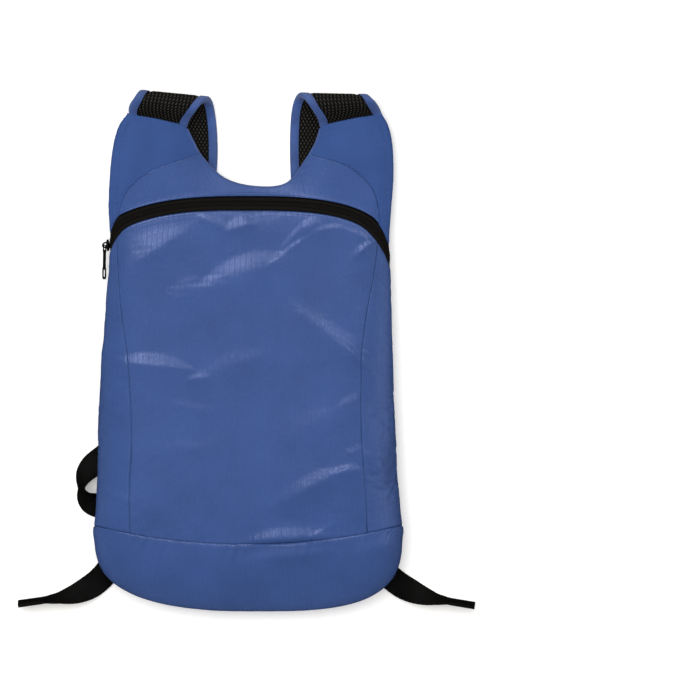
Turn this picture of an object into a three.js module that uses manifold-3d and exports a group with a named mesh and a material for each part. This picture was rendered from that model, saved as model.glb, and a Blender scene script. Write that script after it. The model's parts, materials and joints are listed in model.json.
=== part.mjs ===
// A light sports backpack that lies on its back, with its straps folded under it.
// Millimetres. +X is to the right as the front is seen, +Y to the top of the bag, +Z up from the floor.
import * as THREE from 'three';
import { mergeVertices } from 'three/addons/utils/BufferGeometryUtils.js';
import Module from 'manifold-3d';

// Driving dimensions
const CLOTH = 1.2; // wall of every fabric panel
const GAP = 0.3; // clearance between two pieces that are sewn or seated together
const TOP_Y = 189; // shoulder corners
const WIDE_Y = -142; // widest line, where the bottom panel starts
const BOTTOM_DEPTH = 67.2; // from the widest line down to the bottom of the bag
const CORNER_POWER = { left: 2.3, right: 3.4, down: 3.2 }; // superellipse powers of the lower corners
const STRAP_ROOM = 7; // height of the back panel over the straps that lie under it
const REST_PATCH = { half: 34, top: -60, ease_across: 16, ease_along: 40 }; // where the back meets the floor
const NECK_RISE = { height: 3, from: 60 }; // how far the back panel lifts towards its top
const SEWN_EDGE = { height: 4, roll: 40, blend: 3 }; // front over back where both end in one seam
const BOTTOM_SEAM = { middle: -155, rise: 14.5, half: 122 }; // shallow U across the front
const ZIP = { top: 117.3, sag: 18.5, band: 10.4, coil: 4, proud: 0.8, wrap: 24, widest: 1.4 };
const ZIP_ENDS = { left: { half: 110, drop: 11, power: 24 }, right: { half: 109, drop: 12, power: 12 } };
const NECK_BINDING = 2.4; // width of the bound neckline
const STRAP = { thick: 4.8, binding: 7, tape: 0.75, slack: 0.6, puff: 1.2 };
const WEBBING = { width: 20 };
const LOCK = { width: 28, bar: 3, slot: 4, web_slot: 23, thick: 2.4, low: 1.8, corner: 2 };
const SLIDER = { turn: -12, length: 9, width: 7, plate: 1.5, axis: 3.4 }; // turn round the left flank
const BAIL = { inner: 1.3, outer: 2.6, width: 1.6, leg: 3.3 }; // arch that carries the pull
const PULL = { thick: 1.2, tilt: 1.1 }; // tilt turns its face from the flank towards the sky
const PULL_EYE = { from: 0.6, to: 4, half: 1.2 };
const PULL_SLOT = { from: 19.8, to: 26.2, half: 1.1 };
const PULL_HEADING = new THREE.Vector3(-0.02, -1, -0.2); // the way the pull lies along the flank

// Half widths of the pull, from its eye over the bar to the round end
const PULL_EDGE = [
  { along: -0.6, half: 1.7 },
  { along: 4.8, half: 1.7 },
  { along: 6.4, half: 1.4 },
  { along: 17.8, half: 1.4 },
  { along: 19.6, half: 2 },
  { along: 26, half: 2 },
];

// Half widths of the body by level
const SIDES = [
  { y: -142, left: 122.8, right: 124 },
  { y: -105, left: 120.4, right: 120.6 },
  { y: -50, left: 119.4, right: 118 },
  { y: 0, left: 116.3, right: 116.2 },
  { y: 50, left: 112.4, right: 115 },
  { y: 88, left: 110.2, right: 113.6 },
  { y: 115, left: 111.5, right: 115.2 },
  { y: 140, left: 110.4, right: 116.8 },
  { y: 165, left: 107.4, right: 116 },
  { y: 180, left: 103, right: 112.6 },
  { y: 189, left: 96.4, right: 107.6 },
];

// Depth of the body by level: crown is the front's height over the floor, edge the height of the widest line,
// roll how far in the front climbs to its crown, tuck how far in the back seam lies
const DEPTHS = [
  { y: -208, crown: 41, edge: 23, roll: 42, tuck: 14 },
  { y: -160, crown: 50, edge: 24, roll: 44, tuck: 14 },
  { y: -100, crown: 52, edge: 24, roll: 44, tuck: 14 },
  { y: 0, crown: 41, edge: 22, roll: 40, tuck: 12 },
  { y: 110, crown: 25.5, edge: 16.5, roll: 30, tuck: 9 },
  { y: 150, crown: 19.8, edge: 14.3, roll: 24, tuck: 7 },
  { y: 190, crown: 15.6, edge: 13.4, roll: 16, tuck: 5 },
];

// Seams between the front and the side panels, as distances from the middle
const FRONT_SEAMS = [
  { y: -147, left: 93.4, right: 96 },
  { y: -114, left: 94, right: 94.4 },
  { y: -80, left: 92.6, right: 91.8 },
  { y: -45, left: 93, right: 90.8 },
  { y: 0, left: 96.6, right: 91.6 },
  { y: 30, left: 101, right: 95.4 },
  { y: 55, left: 103.2, right: 100.2 },
  { y: 88, left: 105, right: 105 },
];

// Neckline from the left strap to the right one
const NECKLINE = [
  { x: -48.4, y: 178.8 },
  { x: -42.8, y: 167.5 },
  { x: -36.5, y: 156 },
  { x: -18, y: 138 },
  { x: 8, y: 131.4 },
  { x: 31, y: 134.2 },
  { x: 46, y: 153 },
  { x: 54, y: 167 },
  { x: 57.8, y: 178.8 },
];

// Seams between the yoke and the shoulders, from the neckline down to the end of the zip
const YOKE_SEAMS = {
  left: [
    { x: -47, y: 154.2 },
    { x: -60, y: 150 },
    { x: -74, y: 144.8 },
    { x: -82, y: 140 },
    { x: -89, y: 134.6 },
    { x: -96, y: 127.4 },
    { x: -100, y: 119.8 },
    { x: -102.6, y: 112 },
  ],
  right: [
    { x: 56, y: 154.4 },
    { x: 66, y: 152 },
    { x: 78, y: 148 },
    { x: 86, y: 142.6 },
    { x: 94, y: 135.6 },
    { x: 100, y: 128.6 },
    { x: 103.4, y: 119.6 },
    { x: 105, y: 111 },
  ],
};

// Folds and dents of the front: middle, direction in degrees, half length, half width, height
const FOLDS = [
  { x: -68, y: 80, turn: 29, length: 46, width: 14, height: 2.6 },
  { x: -20, y: 60, turn: 17, length: 50, width: 10, height: 2.4 },
  { x: 39, y: 86, turn: 40, length: 30, width: 9, height: 2 },
  { x: 69, y: 16, turn: -38, length: 34, width: 9, height: 2 },
  { x: -70, y: -9, turn: -8, length: 34, width: 8, height: 2 },
  { x: -10, y: -45, turn: 14, length: 90, width: 26, height: -2.2 },
  { x: 57, y: -105, turn: 21, length: 42, width: 9, height: 2.4 },
  { x: 30, y: -147, turn: 6, length: 44, width: 8, height: 1.8 },
];

// Straps from the shoulder seam over the fold and down under the bag: both edges, and the middle's height
const STRAPS = {
  left: [
    { in_x: -48.4, in_y: 179.3, out_x: -95.2, out_y: 189.6, z: 12 },
    { in_x: -47.6, in_y: 181.4, out_x: -95.3, out_y: 191.2, z: 12.6 },
    { in_x: -45.6, in_y: 185.8, out_x: -95.2, out_y: 194.2, z: 16 },
    { in_x: -42.5, in_y: 190, out_x: -93.8, out_y: 197.4, z: 20.4 },
    { in_x: -37.9, in_y: 195.6, out_x: -91.2, out_y: 201.2, z: 23 },
    { in_x: -33.6, in_y: 199.4, out_x: -88.6, out_y: 204.8, z: 21.4 },
    { in_x: -30.6, in_y: 200.8, out_x: -86, out_y: 206.2, z: 15.4 },
    { in_x: -27.8, in_y: 197.4, out_x: -83.4, out_y: 202.4, z: 8 },
    { in_x: -26, in_y: 188.6, out_x: -81.6, out_y: 192.6, z: 3.8 },
    { in_x: -24.4, in_y: 171.4, out_x: -80, out_y: 173.4, z: 2.7 },
    { in_x: -24.8, in_y: 144, out_x: -80, out_y: 144, z: 2.7 },
    { in_x: -33, in_y: 95, out_x: -86, out_y: 95, z: 2.7 },
    { in_x: -47, in_y: 40, out_x: -93, out_y: 40, z: 2.7 },
    { in_x: -58, in_y: 0, out_x: -95, out_y: 0, z: 2.7 },
    { in_x: -64, in_y: -34, out_x: -92, out_y: -34, z: 2.8 },
  ],
  right: [
    { in_x: 57.8, in_y: 179.3, out_x: 107.4, out_y: 189.6, z: 12 },
    { in_x: 57.2, in_y: 181.6, out_x: 106.8, out_y: 191.2, z: 12.4 },
    { in_x: 55.8, in_y: 186, out_x: 105.2, out_y: 194.4, z: 16 },
    { in_x: 52.8, in_y: 191, out_x: 103.4, out_y: 197, z: 20.4 },
    { in_x: 48.4, in_y: 197.2, out_x: 101, out_y: 200, z: 23 },
    { in_x: 44.8, in_y: 202, out_x: 98, out_y: 202, z: 21.4 },
    { in_x: 41.2, in_y: 204, out_x: 95.4, out_y: 202.6, z: 15.4 },
    { in_x: 37.8, in_y: 201.2, out_x: 93, out_y: 199.4, z: 8 },
    { in_x: 35.4, in_y: 192.8, out_x: 91.2, out_y: 191.2, z: 3.8 },
    { in_x: 34, in_y: 175.4, out_x: 90.2, out_y: 174.2, z: 2.7 },
    { in_x: 34.2, in_y: 144, out_x: 90, out_y: 144, z: 2.7 },
    { in_x: 38, in_y: 95, out_x: 91, out_y: 95, z: 2.7 },
    { in_x: 49, in_y: 40, out_x: 95, out_y: 40, z: 2.7 },
    { in_x: 58, in_y: 0, out_x: 95, out_y: 0, z: 2.7 },
    { in_x: 64, in_y: -34, out_x: 92, out_y: -34, z: 2.8 },
  ],
};

// Webbing from its anchor in the side seam through the lock to the end of its tail: middle of the band, the
// direction of its width in degrees, how far that width stands up in degrees, and its thickness
const WEBBINGS = {
  left: [
    { x: -105.8, y: -124, z: 5.9, across: 90, stand: 0, thick: 1.2 },
    { x: -112, y: -124, z: 5, across: 90, stand: 0, thick: 1.2 },
    { x: -117.6, y: -124.4, z: 2.6, across: 90, stand: 6, thick: 1.2 },
    { x: -122.8, y: -124.2, z: 4.5, across: 84, stand: 20, thick: 1.2 },
    { x: -127.8, y: -121.6, z: 6.6, across: 56, stand: 34, thick: 1.2 },
    { x: -131.8, y: -116.4, z: 9.4, across: 22, stand: 58, thick: 1.2 },
    { x: -133.2, y: -111, z: 10.7, across: 0, stand: 77, thick: 1.2 },
    { x: -132.6, y: -106, z: 9.6, across: -8, stand: 62, thick: 1.2 },
    { x: -130.2, y: -99.6, z: 7.4, across: -27, stand: 40, thick: 1.2 },
    { x: -124.6, y: -92.8, z: 3.9, across: -46, stand: 18, thick: 1.2 },
    { x: -116.6, y: -86.6, z: 1.5, across: -54, stand: 4, thick: 1.2 },
    { x: -106, y: -78.6, z: 0.9, across: -52, stand: 0, thick: 1.2 },
    { x: -93, y: -66, z: 0.9, across: -42, stand: 0, thick: 1.2 },
    { x: -83, y: -58, z: 0.9, across: -22, stand: 0, thick: 1.2 },
    { x: -78.4, y: -53, z: 0.9, across: -4, stand: 0, thick: 1.2 },
    { x: -78, y: -48.4, z: 0.9, across: 0, stand: 0, thick: 1.2 },
    { x: -78, y: -46.9, z: 1.5, across: 0, stand: 0, thick: 1.2 },
    { x: -78, y: -46.2, z: 3, across: 0, stand: 0, thick: 1.2 },
    { x: -78, y: -46.9, z: 4.5, across: 0, stand: 0, thick: 1.2 },
    { x: -78, y: -48.4, z: 5.1, across: 0, stand: 0, thick: 1.2 },
    { x: -78.2, y: -53, z: 5, across: -2, stand: 0, thick: 1.2 },
    { x: -79.4, y: -61, z: 3.6, across: -6, stand: 0, thick: 1.2 },
    { x: -81.4, y: -71, z: 2.7, across: -9, stand: 0, thick: 1.2 },
    { x: -84.6, y: -88, z: 2.5, across: -11, stand: 0, thick: 1.2 },
    { x: -89, y: -112, z: 1.2, across: -12, stand: 0, thick: 1.2 },
    { x: -95, y: -138, z: 0.9, across: -17, stand: 0, thick: 1.2 },
    { x: -103.6, y: -162, z: 0.9, across: -28, stand: 0, thick: 1.2 },
    { x: -113.6, y: -178.4, z: 1.1, across: -42, stand: 2, thick: 1.2 },
    { x: -123.8, y: -188.2, z: 1.9, across: -50, stand: 6, thick: 1.2 },
    { x: -137, y: -195, z: 7, across: -68, stand: 36, thick: 1.2 },
    { x: -151, y: -198.6, z: 10, across: -80, stand: 65, thick: 1.2 },
    { x: -162, y: -200.2, z: 10.7, across: -84, stand: 77, thick: 1.4 },
    { x: -167, y: -201, z: 11, across: -84, stand: 80, thick: 2.4 },
    { x: -184, y: -203.4, z: 11, across: -83, stand: 80, thick: 2.4 },
  ],
  right: [
    { x: 107.6, y: -116, z: 5.9, across: 30, stand: 0, thick: 1.2 },
    { x: 104, y: -109, z: 4.6, across: 28, stand: 0, thick: 1.2 },
    { x: 100, y: -100, z: 2, across: 26, stand: 0, thick: 1.2 },
    { x: 95, y: -89, z: 0.9, across: 26, stand: 0, thick: 1.2 },
    { x: 87, y: -71, z: 0.9, across: 22, stand: 0, thick: 1.2 },
    { x: 81, y: -59, z: 0.9, across: 14, stand: 0, thick: 1.2 },
    { x: 78.4, y: -53, z: 0.9, across: 4, stand: 0, thick: 1.2 },
    { x: 78, y: -48.4, z: 0.9, across: 0, stand: 0, thick: 1.2 },
    { x: 78, y: -46.9, z: 1.5, across: 0, stand: 0, thick: 1.2 },
    { x: 78, y: -46.2, z: 3, across: 0, stand: 0, thick: 1.2 },
    { x: 78, y: -46.9, z: 4.5, across: 0, stand: 0, thick: 1.2 },
    { x: 78, y: -48.4, z: 5.1, across: 0, stand: 0, thick: 1.2 },
    { x: 77.6, y: -53, z: 5, across: -4, stand: 0, thick: 1.2 },
    { x: 76, y: -61, z: 3.6, across: -7, stand: 0, thick: 1.2 },
    { x: 74.6, y: -73, z: 2.7, across: -4, stand: 0, thick: 1.2 },
    { x: 74, y: -88, z: 2.5, across: 2, stand: 0, thick: 1.2 },
    { x: 76.4, y: -112, z: 1.2, across: 10, stand: 0, thick: 1.2 },
    { x: 84, y: -138, z: 0.9, across: 22, stand: 0, thick: 1.2 },
    { x: 97.6, y: -163, z: 0.9, across: 35, stand: 0, thick: 1.2 },
    { x: 112, y: -180, z: 1.1, across: 45, stand: -2, thick: 1.2 },
    { x: 124, y: -189.4, z: 1.9, across: 54, stand: -6, thick: 1.2 },
    { x: 137.6, y: -195.8, z: 7, across: 70, stand: -36, thick: 1.2 },
    { x: 151, y: -199.6, z: 10, across: 80, stand: -65, thick: 1.2 },
    { x: 160, y: -201, z: 10.7, across: 82, stand: -77, thick: 1.4 },
    { x: 164, y: -201.8, z: 11, across: 81, stand: -80, thick: 2.4 },
    { x: 182, y: -204.8, z: 11, across: 80, stand: -80, thick: 2.4 },
  ],
};

const MATERIALS = {
  nylon: { color: 0x425a8e, roughness: 0.55, metalness: 0 },
  binding: { color: 0x354b80, roughness: 0.7, metalness: 0 },
  mesh: { color: 0x191815, roughness: 0.9, metalness: 0 },
  webbing: { color: 0x16161a, roughness: 0.8, metalness: 0 },
  zip: { color: 0x171614, roughness: 0.6, metalness: 0 },
  lock: { color: 0x1a1a1c, roughness: 0.45, metalness: 0 },
  slider: { color: 0x1c1c1c, roughness: 0.35, metalness: 0.8 },
};

const SIGN = { left: -1, right: 1 };
const DEGREE = Math.PI / 180;
const { clamp, lerp, smoothstep } = THREE.MathUtils;

// Evenly spaced numbers, both ends included
const steps = (from, to, count) => Array.from({ length: count + 1 }, (_, i) => lerp(from, to, i / count));

// Smooth value of one column of a table whose rows run in order along another column
function lookUp(rows, along, key, at) {
  const last = rows.length - 1;
  const slope = (i) => {
    const before = rows[Math.max(i - 1, 0)];
    const after = rows[Math.min(i + 1, last)];
    return (after[key] - before[key]) / (after[along] - before[along]);
  };
  const place = clamp(at, rows[0][along], rows[last][along]);
  const i = Math.max(0, rows.findLastIndex((row, k) => k < last && row[along] <= place));
  const span = rows[i + 1][along] - rows[i][along];
  const t = (place - rows[i][along]) / span;
  const ease = t * t * (3 - 2 * t);
  const leave = t * (1 - t) * (1 - t) * span * slope(i);
  const arrive = t * t * (t - 1) * span * slope(i + 1);
  return lerp(rows[i][key], rows[i + 1][key], ease) + leave + arrive;
}

const halfWidth = (side, y) => lookUp(SIDES, 'y', side, y);
const depth = (key, y) => lookUp(DEPTHS, 'y', key, y);

// Plan outline, from the left shoulder corner round the bottom to the right one
function outlineCurve() {
  const flank = (side) =>
    steps(TOP_Y, WIDE_Y, 24).map((y) => new THREE.Vector2(SIGN[side] * halfWidth(side, y), y));
  const corner = (side) =>
    steps(0, 1, 12).slice(1).map((t) => {
      const angle = (Math.PI / 2) * t ** 1.6;
      const across = halfWidth(side, WIDE_Y) * Math.max(Math.cos(angle), 0) ** (2 / CORNER_POWER[side]);
      const down = BOTTOM_DEPTH * Math.sin(angle) ** (2 / CORNER_POWER.down);
      return new THREE.Vector2(SIGN[side] * across, WIDE_Y - down);
    });
  const left = [...flank('left'), ...corner('left')];
  const right = [...flank('right'), ...corner('right').slice(0, -1)];
  return new THREE.SplineCurve([...left, ...right.reverse()]);
}

const OUTLINE = outlineCurve();
const OUTLINE_POINTS = OUTLINE.getSpacedPoints(320);
const NECK_CURVE = new THREE.SplineCurve(NECKLINE.map(({ x, y }) => new THREE.Vector2(x, y)));
const NECK_POINTS = NECK_CURVE.getSpacedPoints(60);
const SEWN_POINTS = [
  new THREE.Vector2(-halfWidth('left', TOP_Y), TOP_Y),
  ...NECK_POINTS,
  new THREE.Vector2(halfWidth('right', TOP_Y), TOP_Y),
];

// Nearest point of an open line of points
function nearest(points, x, y) {
  let best = { distance: Infinity };
  for (let i = 1; i < points.length; i += 1) {
    const from = points[i - 1];
    const run = points[i].clone().sub(from);
    const t = clamp(((x - from.x) * run.x + (y - from.y) * run.y) / run.lengthSq(), 0, 1);
    const near = from.clone().addScaledVector(run, t);
    const distance = Math.hypot(near.x - x, near.y - y);
    if (distance < best.distance) best = { distance, x: near.x, y: near.y };
  }
  return best;
}

// Underside of the back panel: flat on the floor in one patch, lifted over the straps
function backHeight(x, y) {
  const { half, top, ease_across, ease_along } = REST_PATCH;
  const across = smoothstep(Math.abs(x), half, half + ease_across);
  const along = smoothstep(y, top, top + ease_along);
  return STRAP_ROOM * Math.max(across, along) + NECK_RISE.height * smoothstep(y, NECK_RISE.from, TOP_Y);
}

function foldHeight(x, y) {
  let sum = 0;
  for (const fold of FOLDS) {
    const cos = Math.cos(fold.turn * DEGREE);
    const sin = Math.sin(fold.turn * DEGREE);
    const along = ((x - fold.x) * cos + (y - fold.y) * sin) / fold.length;
    const across = ((y - fold.y) * cos - (x - fold.x) * sin) / fold.width;
    sum += fold.height * Math.max(0, 1 - along * along) ** 2 * Math.exp(-across * across);
  }
  return sum;
}

function smoothMin(a, b, reach) {
  const blend = clamp((reach - Math.abs(a - b)) / reach, 0, 1);
  return Math.min(a, b) - (blend * blend * reach) / 4;
}

// Height of the front skin, or of the surface that lies `inset` inside it
function frontHeight(x, y, inset) {
  const crown = depth('crown', y);
  const outer = nearest(OUTLINE_POINTS, x, y);
  const sewn = nearest(SEWN_POINTS, x, y);
  const outside = y > WIDE_Y && Math.abs(x) > halfWidth(x < 0 ? 'left' : 'right', y);
  const inside = outside ? -outer.distance : outer.distance;
  const climb = clamp((inside - inset) / depth('roll', outer.y), 0, 1);
  const edge = depth('edge', outer.y);
  const rolled = edge + (crown - inset - edge) * Math.sqrt(1 - (1 - climb) ** 2);
  const wedge = clamp(sewn.distance / SEWN_EDGE.roll, 0, 1);
  const seam = backHeight(sewn.x, sewn.y) + SEWN_EDGE.height;
  const sloped = seam + (crown - seam) * wedge * (2 - wedge) - inset;
  const quiet = smoothstep(outer.distance, 4, 24) * smoothstep(sewn.distance, 4, 30);
  return smoothMin(rolled, sloped, SEWN_EDGE.blend) + quiet * foldHeight(x, y);
}

const frontPoint = (x, y, inset) => [x, y, frontHeight(x, y, inset)];

// Skin that rolls from the widest line, at turn 0, round to the back seam, at turn -90 degrees
function tuckPoint(edgeX, edgeY, inward, turn, inset) {
  const tuck = depth('tuck', edgeY);
  const edge = depth('edge', edgeY);
  const seam = backHeight(edgeX + inward.x * tuck, edgeY + inward.y * tuck);
  const reach = inset + (tuck - inset) * (1 - Math.cos(turn));
  const z = edge + (edge - seam - inset) * Math.sin(turn);
  return [edgeX + inward.x * reach, edgeY + inward.y * reach, z];
}

// Skin on a level section of one flank: turn 90 degrees is the crown, 0 the widest line, -90 the back seam
function flankPoint(side, y, turn, inset) {
  const x = flankX(side, y, turn, inset);
  if (turn >= 0) return frontPoint(x, y, inset);
  const inward = { x: -SIGN[side], y: 0 };
  return tuckPoint(SIGN[side] * halfWidth(side, y), y, inward, turn, inset);
}

function flankX(side, y, turn, inset) {
  const climb = depth('roll', y) * (1 - Math.cos(Math.max(turn, 0)));
  return SIGN[side] * (halfWidth(side, y) - inset - climb);
}

// Level of a line along the zip, `offset` being square to the zip
function zipEdge(x, offset) {
  const { half, drop, power } = x < 0 ? ZIP_ENDS.left : ZIP_ENDS.right;
  const share = Math.abs(x / half);
  const arch = ZIP.top - ZIP.sag * share ** 3 - drop * share ** power;
  const slope = (3 * ZIP.sag * share ** 2 + power * drop * share ** (power - 1)) / half;
  return arch + offset * Math.min(Math.hypot(1, slope), ZIP.widest);
}

const bottomSeam = (x) => BOTTOM_SEAM.middle + BOTTOM_SEAM.rise * (x / BOTTOM_SEAM.half) ** 2;

// Level at which a line `offset` above the middle of the zip crosses a flank
function zipLevel(side, turn, offset) {
  let y = ZIP.top;
  for (let i = 0; i < 12; i += 1) y = zipEdge(flankX(side, y, turn, 0), offset);
  return y + (ZIP.wrap * Math.min(turn, 0)) / (Math.PI / 2);
}

// Closed geometry from points and triangles, turned so that its faces point out
function closedGeometry(points, triangles) {
  const [a, b, c] = [new THREE.Vector3(), new THREE.Vector3(), new THREE.Vector3()];
  let volume = 0;
  for (const [i, j, k] of triangles) {
    volume += a.fromArray(points[i]).dot(b.fromArray(points[j]).cross(c.fromArray(points[k])));
  }
  const facing = volume > 0 ? triangles : triangles.map(([i, j, k]) => [i, k, j]);
  const geometry = new THREE.BufferGeometry();
  geometry.setAttribute('position', new THREE.Float32BufferAttribute(points.flat(), 3));
  geometry.setIndex(facing.flat());
  return geometry;
}

// Cloth wall over a grid of parameters: an outer skin, an inner skin and the rim between them
function wall(us, vs, pointAt) {
  const points = [0, CLOTH].flatMap((inset) => vs.flatMap((v) => us.map((u) => pointAt(u, v, inset))));
  const at = (layer, row, column) => (layer * vs.length + row) * us.length + column;
  const triangles = [];
  const quad = (a, b, c, d) => triangles.push([a, b, c], [a, c, d]);
  const [rows, columns] = [vs.length - 1, us.length - 1];
  for (let row = 0; row < rows; row += 1) {
    for (let column = 0; column < columns; column += 1) {
      const corners = [[row, column], [row, column + 1], [row + 1, column + 1], [row + 1, column]];
      const [p, q, r, s] = corners.map(([i, j]) => at(0, i, j));
      const [pi, qi, ri, si] = corners.map(([i, j]) => at(1, i, j));
      quad(p, q, r, s);
      triangles.push([pi, ri, qi], [pi, si, ri]);
    }
  }
  for (let column = 0; column < columns; column += 1) {
    quad(at(0, 0, column + 1), at(0, 0, column), at(1, 0, column), at(1, 0, column + 1));
    quad(at(0, rows, column), at(0, rows, column + 1), at(1, rows, column + 1), at(1, rows, column));
  }
  for (let row = 0; row < rows; row += 1) {
    quad(at(0, row, 0), at(0, row + 1, 0), at(1, row + 1, 0), at(1, row, 0));
    quad(at(0, row + 1, columns), at(0, row, columns), at(1, row, columns), at(1, row + 1, columns));
  }
  return closedGeometry(points, triangles);
}

// Bar through a row of sections, each the same flat profile set in space, whose two faces fold alike
function bar(profile, sections) {
  const size = profile.length;
  const caps = THREE.ShapeUtils.triangulateShape(profile.map(([x, y]) => new THREE.Vector2(x, y)), []);
  const triangles = [];
  for (let i = 1; i < sections.length; i += 1) {
    const [from, to] = [(i - 1) * size, i * size];
    for (let j = 0; j < size; j += 1) {
      const k = (j + 1) % size;
      const folds = profile[j][0] <= profile[k][0] ? [to + k, from + j] : [to + j, from + k];
      triangles.push([from + j, from + k, folds[0]], [folds[1], to + k, to + j]);
    }
  }
  const end = (sections.length - 1) * size;
  const turned = signedArea(profile) > 0;
  for (const [i, j, k] of caps) {
    triangles.push(turned ? [i, k, j] : [i, j, k]);
    triangles.push(turned ? [end + i, end + j, end + k] : [end + i, end + k, end + j]);
  }
  return closedGeometry(sections.flat(), triangles);
}

function signedArea(profile) {
  return THREE.ShapeUtils.area(profile.map(([x, y]) => new THREE.Vector2(x, y)));
}

// Front panel, between the zip, the two front seams and the bottom seam
const BODY_ROWS = steps(0, 1, 18);
const frontSeam = (side, y) => SIGN[side] * lookUp(FRONT_SEAMS, 'y', side, y);

function frontPanel() {
  return wall(steps(0, 1, 17), BODY_ROWS, (u, v, inset) => {
    const topX = lerp(frontSeam('left', TOP_Y), frontSeam('right', TOP_Y), u);
    const seamX = lerp(frontSeam('left', WIDE_Y), frontSeam('right', WIDE_Y), u);
    const zipX = topX + inset * clamp(topX / 80, -1, 1);
    const top = zipEdge(zipX, -ZIP.band / 2 - GAP / 2);
    const y = lerp(top, bottomSeam(seamX) + GAP / 2, v);
    const x = lerp(frontSeam('left', y) + GAP / 2, frontSeam('right', y) - GAP / 2, u);
    return frontPoint(x, y, inset);
  });
}

// Side panel, from the front seam over the widest line to the back seam
const FLANK_PARTS = [...steps(1, 0, 5), ...steps(0, -1, 3).slice(1)];

function sidePanel(side) {
  const seamTurn = (y, inset) => {
    const run = halfWidth(side, y) - inset - Math.abs(frontSeam(side, y)) - GAP / 2;
    return Math.acos(clamp(1 - run / depth('roll', y), -1, 1));
  };
  const turnAt = (part, y, inset) => (part > 0 ? part * seamTurn(y, inset) : (part * Math.PI) / 2);
  return wall(FLANK_PARTS, BODY_ROWS, (part, v, inset) => {
    let top = ZIP.top - 2 * ZIP.sag;
    let bottom = bottomSeam(halfWidth(side, WIDE_Y));
    for (let i = 0; i < 12; i += 1) {
      top = zipLevel(side, turnAt(part, top, inset), -ZIP.band / 2 - GAP);
      const turn = turnAt(part, bottom, inset);
      bottom = bottomSeam(flankX(side, bottom, turn, inset)) + GAP / 2;
    }
    const y = lerp(top, bottom, v);
    return flankPoint(side, y, turnAt(part, y, inset), inset);
  });
}

// Bottom panel, from the back seam round the widest line up to the bottom seam
const LOWER_PARTS = [...steps(-1, 0, 3), ...steps(0, 1, 5).slice(1)];

// Share of the outline at which one flank comes down to a level
function outlineShare(side, y) {
  const count = OUTLINE_POINTS.length - 1;
  const stride = -SIGN[side];
  let i = side === 'left' ? 0 : count;
  while (OUTLINE_POINTS[i + stride].y > y) i += stride;
  const [from, to] = [OUTLINE_POINTS[i].y, OUTLINE_POINTS[i + stride].y];
  return (i + (stride * (y - from)) / (to - from)) / count;
}

function inwardNormal(curve, share) {
  const tangent = curve.getTangentAt(share);
  return { x: -tangent.y, y: tangent.x };
}

function bottomPanel() {
  const corner = (side) => outlineShare(side, bottomSeam(halfWidth(side, WIDE_Y)) - 2 * GAP);
  const [start, end] = [corner('left'), corner('right')];
  const reach = BOTTOM_SEAM.half - 4;
  return wall(steps(0, 1, 28), LOWER_PARTS, (u, part, inset) => {
    const share = lerp(start, end, u);
    const edge = OUTLINE.getPointAt(share);
    const inward = inwardNormal(OUTLINE, share);
    if (part < 0) return tuckPoint(edge.x, edge.y, inward, (part * Math.PI) / 2, inset);
    const seamX = lerp(-reach, reach, u);
    const x = lerp(edge.x + inward.x * inset, seamX, part * part);
    const y = lerp(edge.y + inward.y * inset, bottomSeam(seamX) - GAP / 2, part * part);
    return frontPoint(x, y, inset);
  });
}

// Yoke, between the zip and the neckline. Its columns stand on the nodes of the shoulder seams.
const NECK_INSET = NECK_BINDING + 2.5 * GAP;

function neckInset(share, inset) {
  const point = NECK_CURVE.getPointAt(share);
  const normal = inwardNormal(NECK_CURVE, share);
  return { x: point.x - normal.x * inset, y: point.y - normal.y * inset };
}

const NECK_SHARES = { left: 0.15, right: 0.855 }; // where the shoulder seams reach the neckline

function yokePanel() {
  const shift = (side) => ({ x, y }) => ({ x: x - SIGN[side] * (GAP / 2), y: y - GAP / 2 });
  const top = [
    ...YOKE_SEAMS.left.map(shift('left')).reverse(),
    ...steps(NECK_SHARES.left, NECK_SHARES.right, 12).map((share) => neckInset(share, NECK_INSET)),
    ...YOKE_SEAMS.right.map(shift('right')),
  ];
  return wall(top, steps(0, 1, 4), (node, v, inset) => {
    const low = zipEdge(node.x, ZIP.band / 2 + GAP);
    return frontPoint(node.x, lerp(low, node.y, v), inset);
  });
}

// Shoulder panel, from the neckline and the yoke seam over the widest line to the back seam
const SHOULDER_PARTS = [...steps(1, 0, 5), ...steps(0, -1, 3).slice(1)];

function shoulderPanel(side) {
  const sign = SIGN[side];
  const ends = side === 'left' ? [0.004, NECK_SHARES.left] : [0.996, NECK_SHARES.right];
  const shift = ({ x, y }) => ({ x: x + sign * (GAP / 2), y: y + GAP / 2 });
  const seam = YOKE_SEAMS[side].map(shift);
  const low = seam[seam.length - 1];
  const clearance = ZIP.band / 2 + 3 * GAP;
  const foot = { x: low.x, y: zipEdge(low.x, clearance) };
  const inner = [...steps(...ends, 3).map((share) => neckInset(share, NECK_INSET)), ...seam, foot];
  inner[0].y -= GAP;
  const rows = inner.map((node, i) => ({ node, share: i / (inner.length - 1) }));
  return wall(SHOULDER_PARTS, rows, (part, { node, share }, inset) => {
    const turn = (Math.min(part, 0) * Math.PI) / 2;
    const end = zipLevel(side, turn, clearance);
    const y = lerp(TOP_Y - GAP, end, share);
    if (part < 0) return flankPoint(side, y, turn, inset);
    const mixed = 1 - (1 - part) ** 2;
    const rim = zipEdge(lerp(flankX(side, end, 0, 0), foot.x, mixed), clearance);
    const bow = rim - lerp(end, foot.y, mixed);
    const level = lerp(y, node.y, mixed) + bow * share ** 6;
    return frontPoint(lerp(flankX(side, y, 0, inset), node.x, mixed), level, inset);
  });
}

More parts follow.
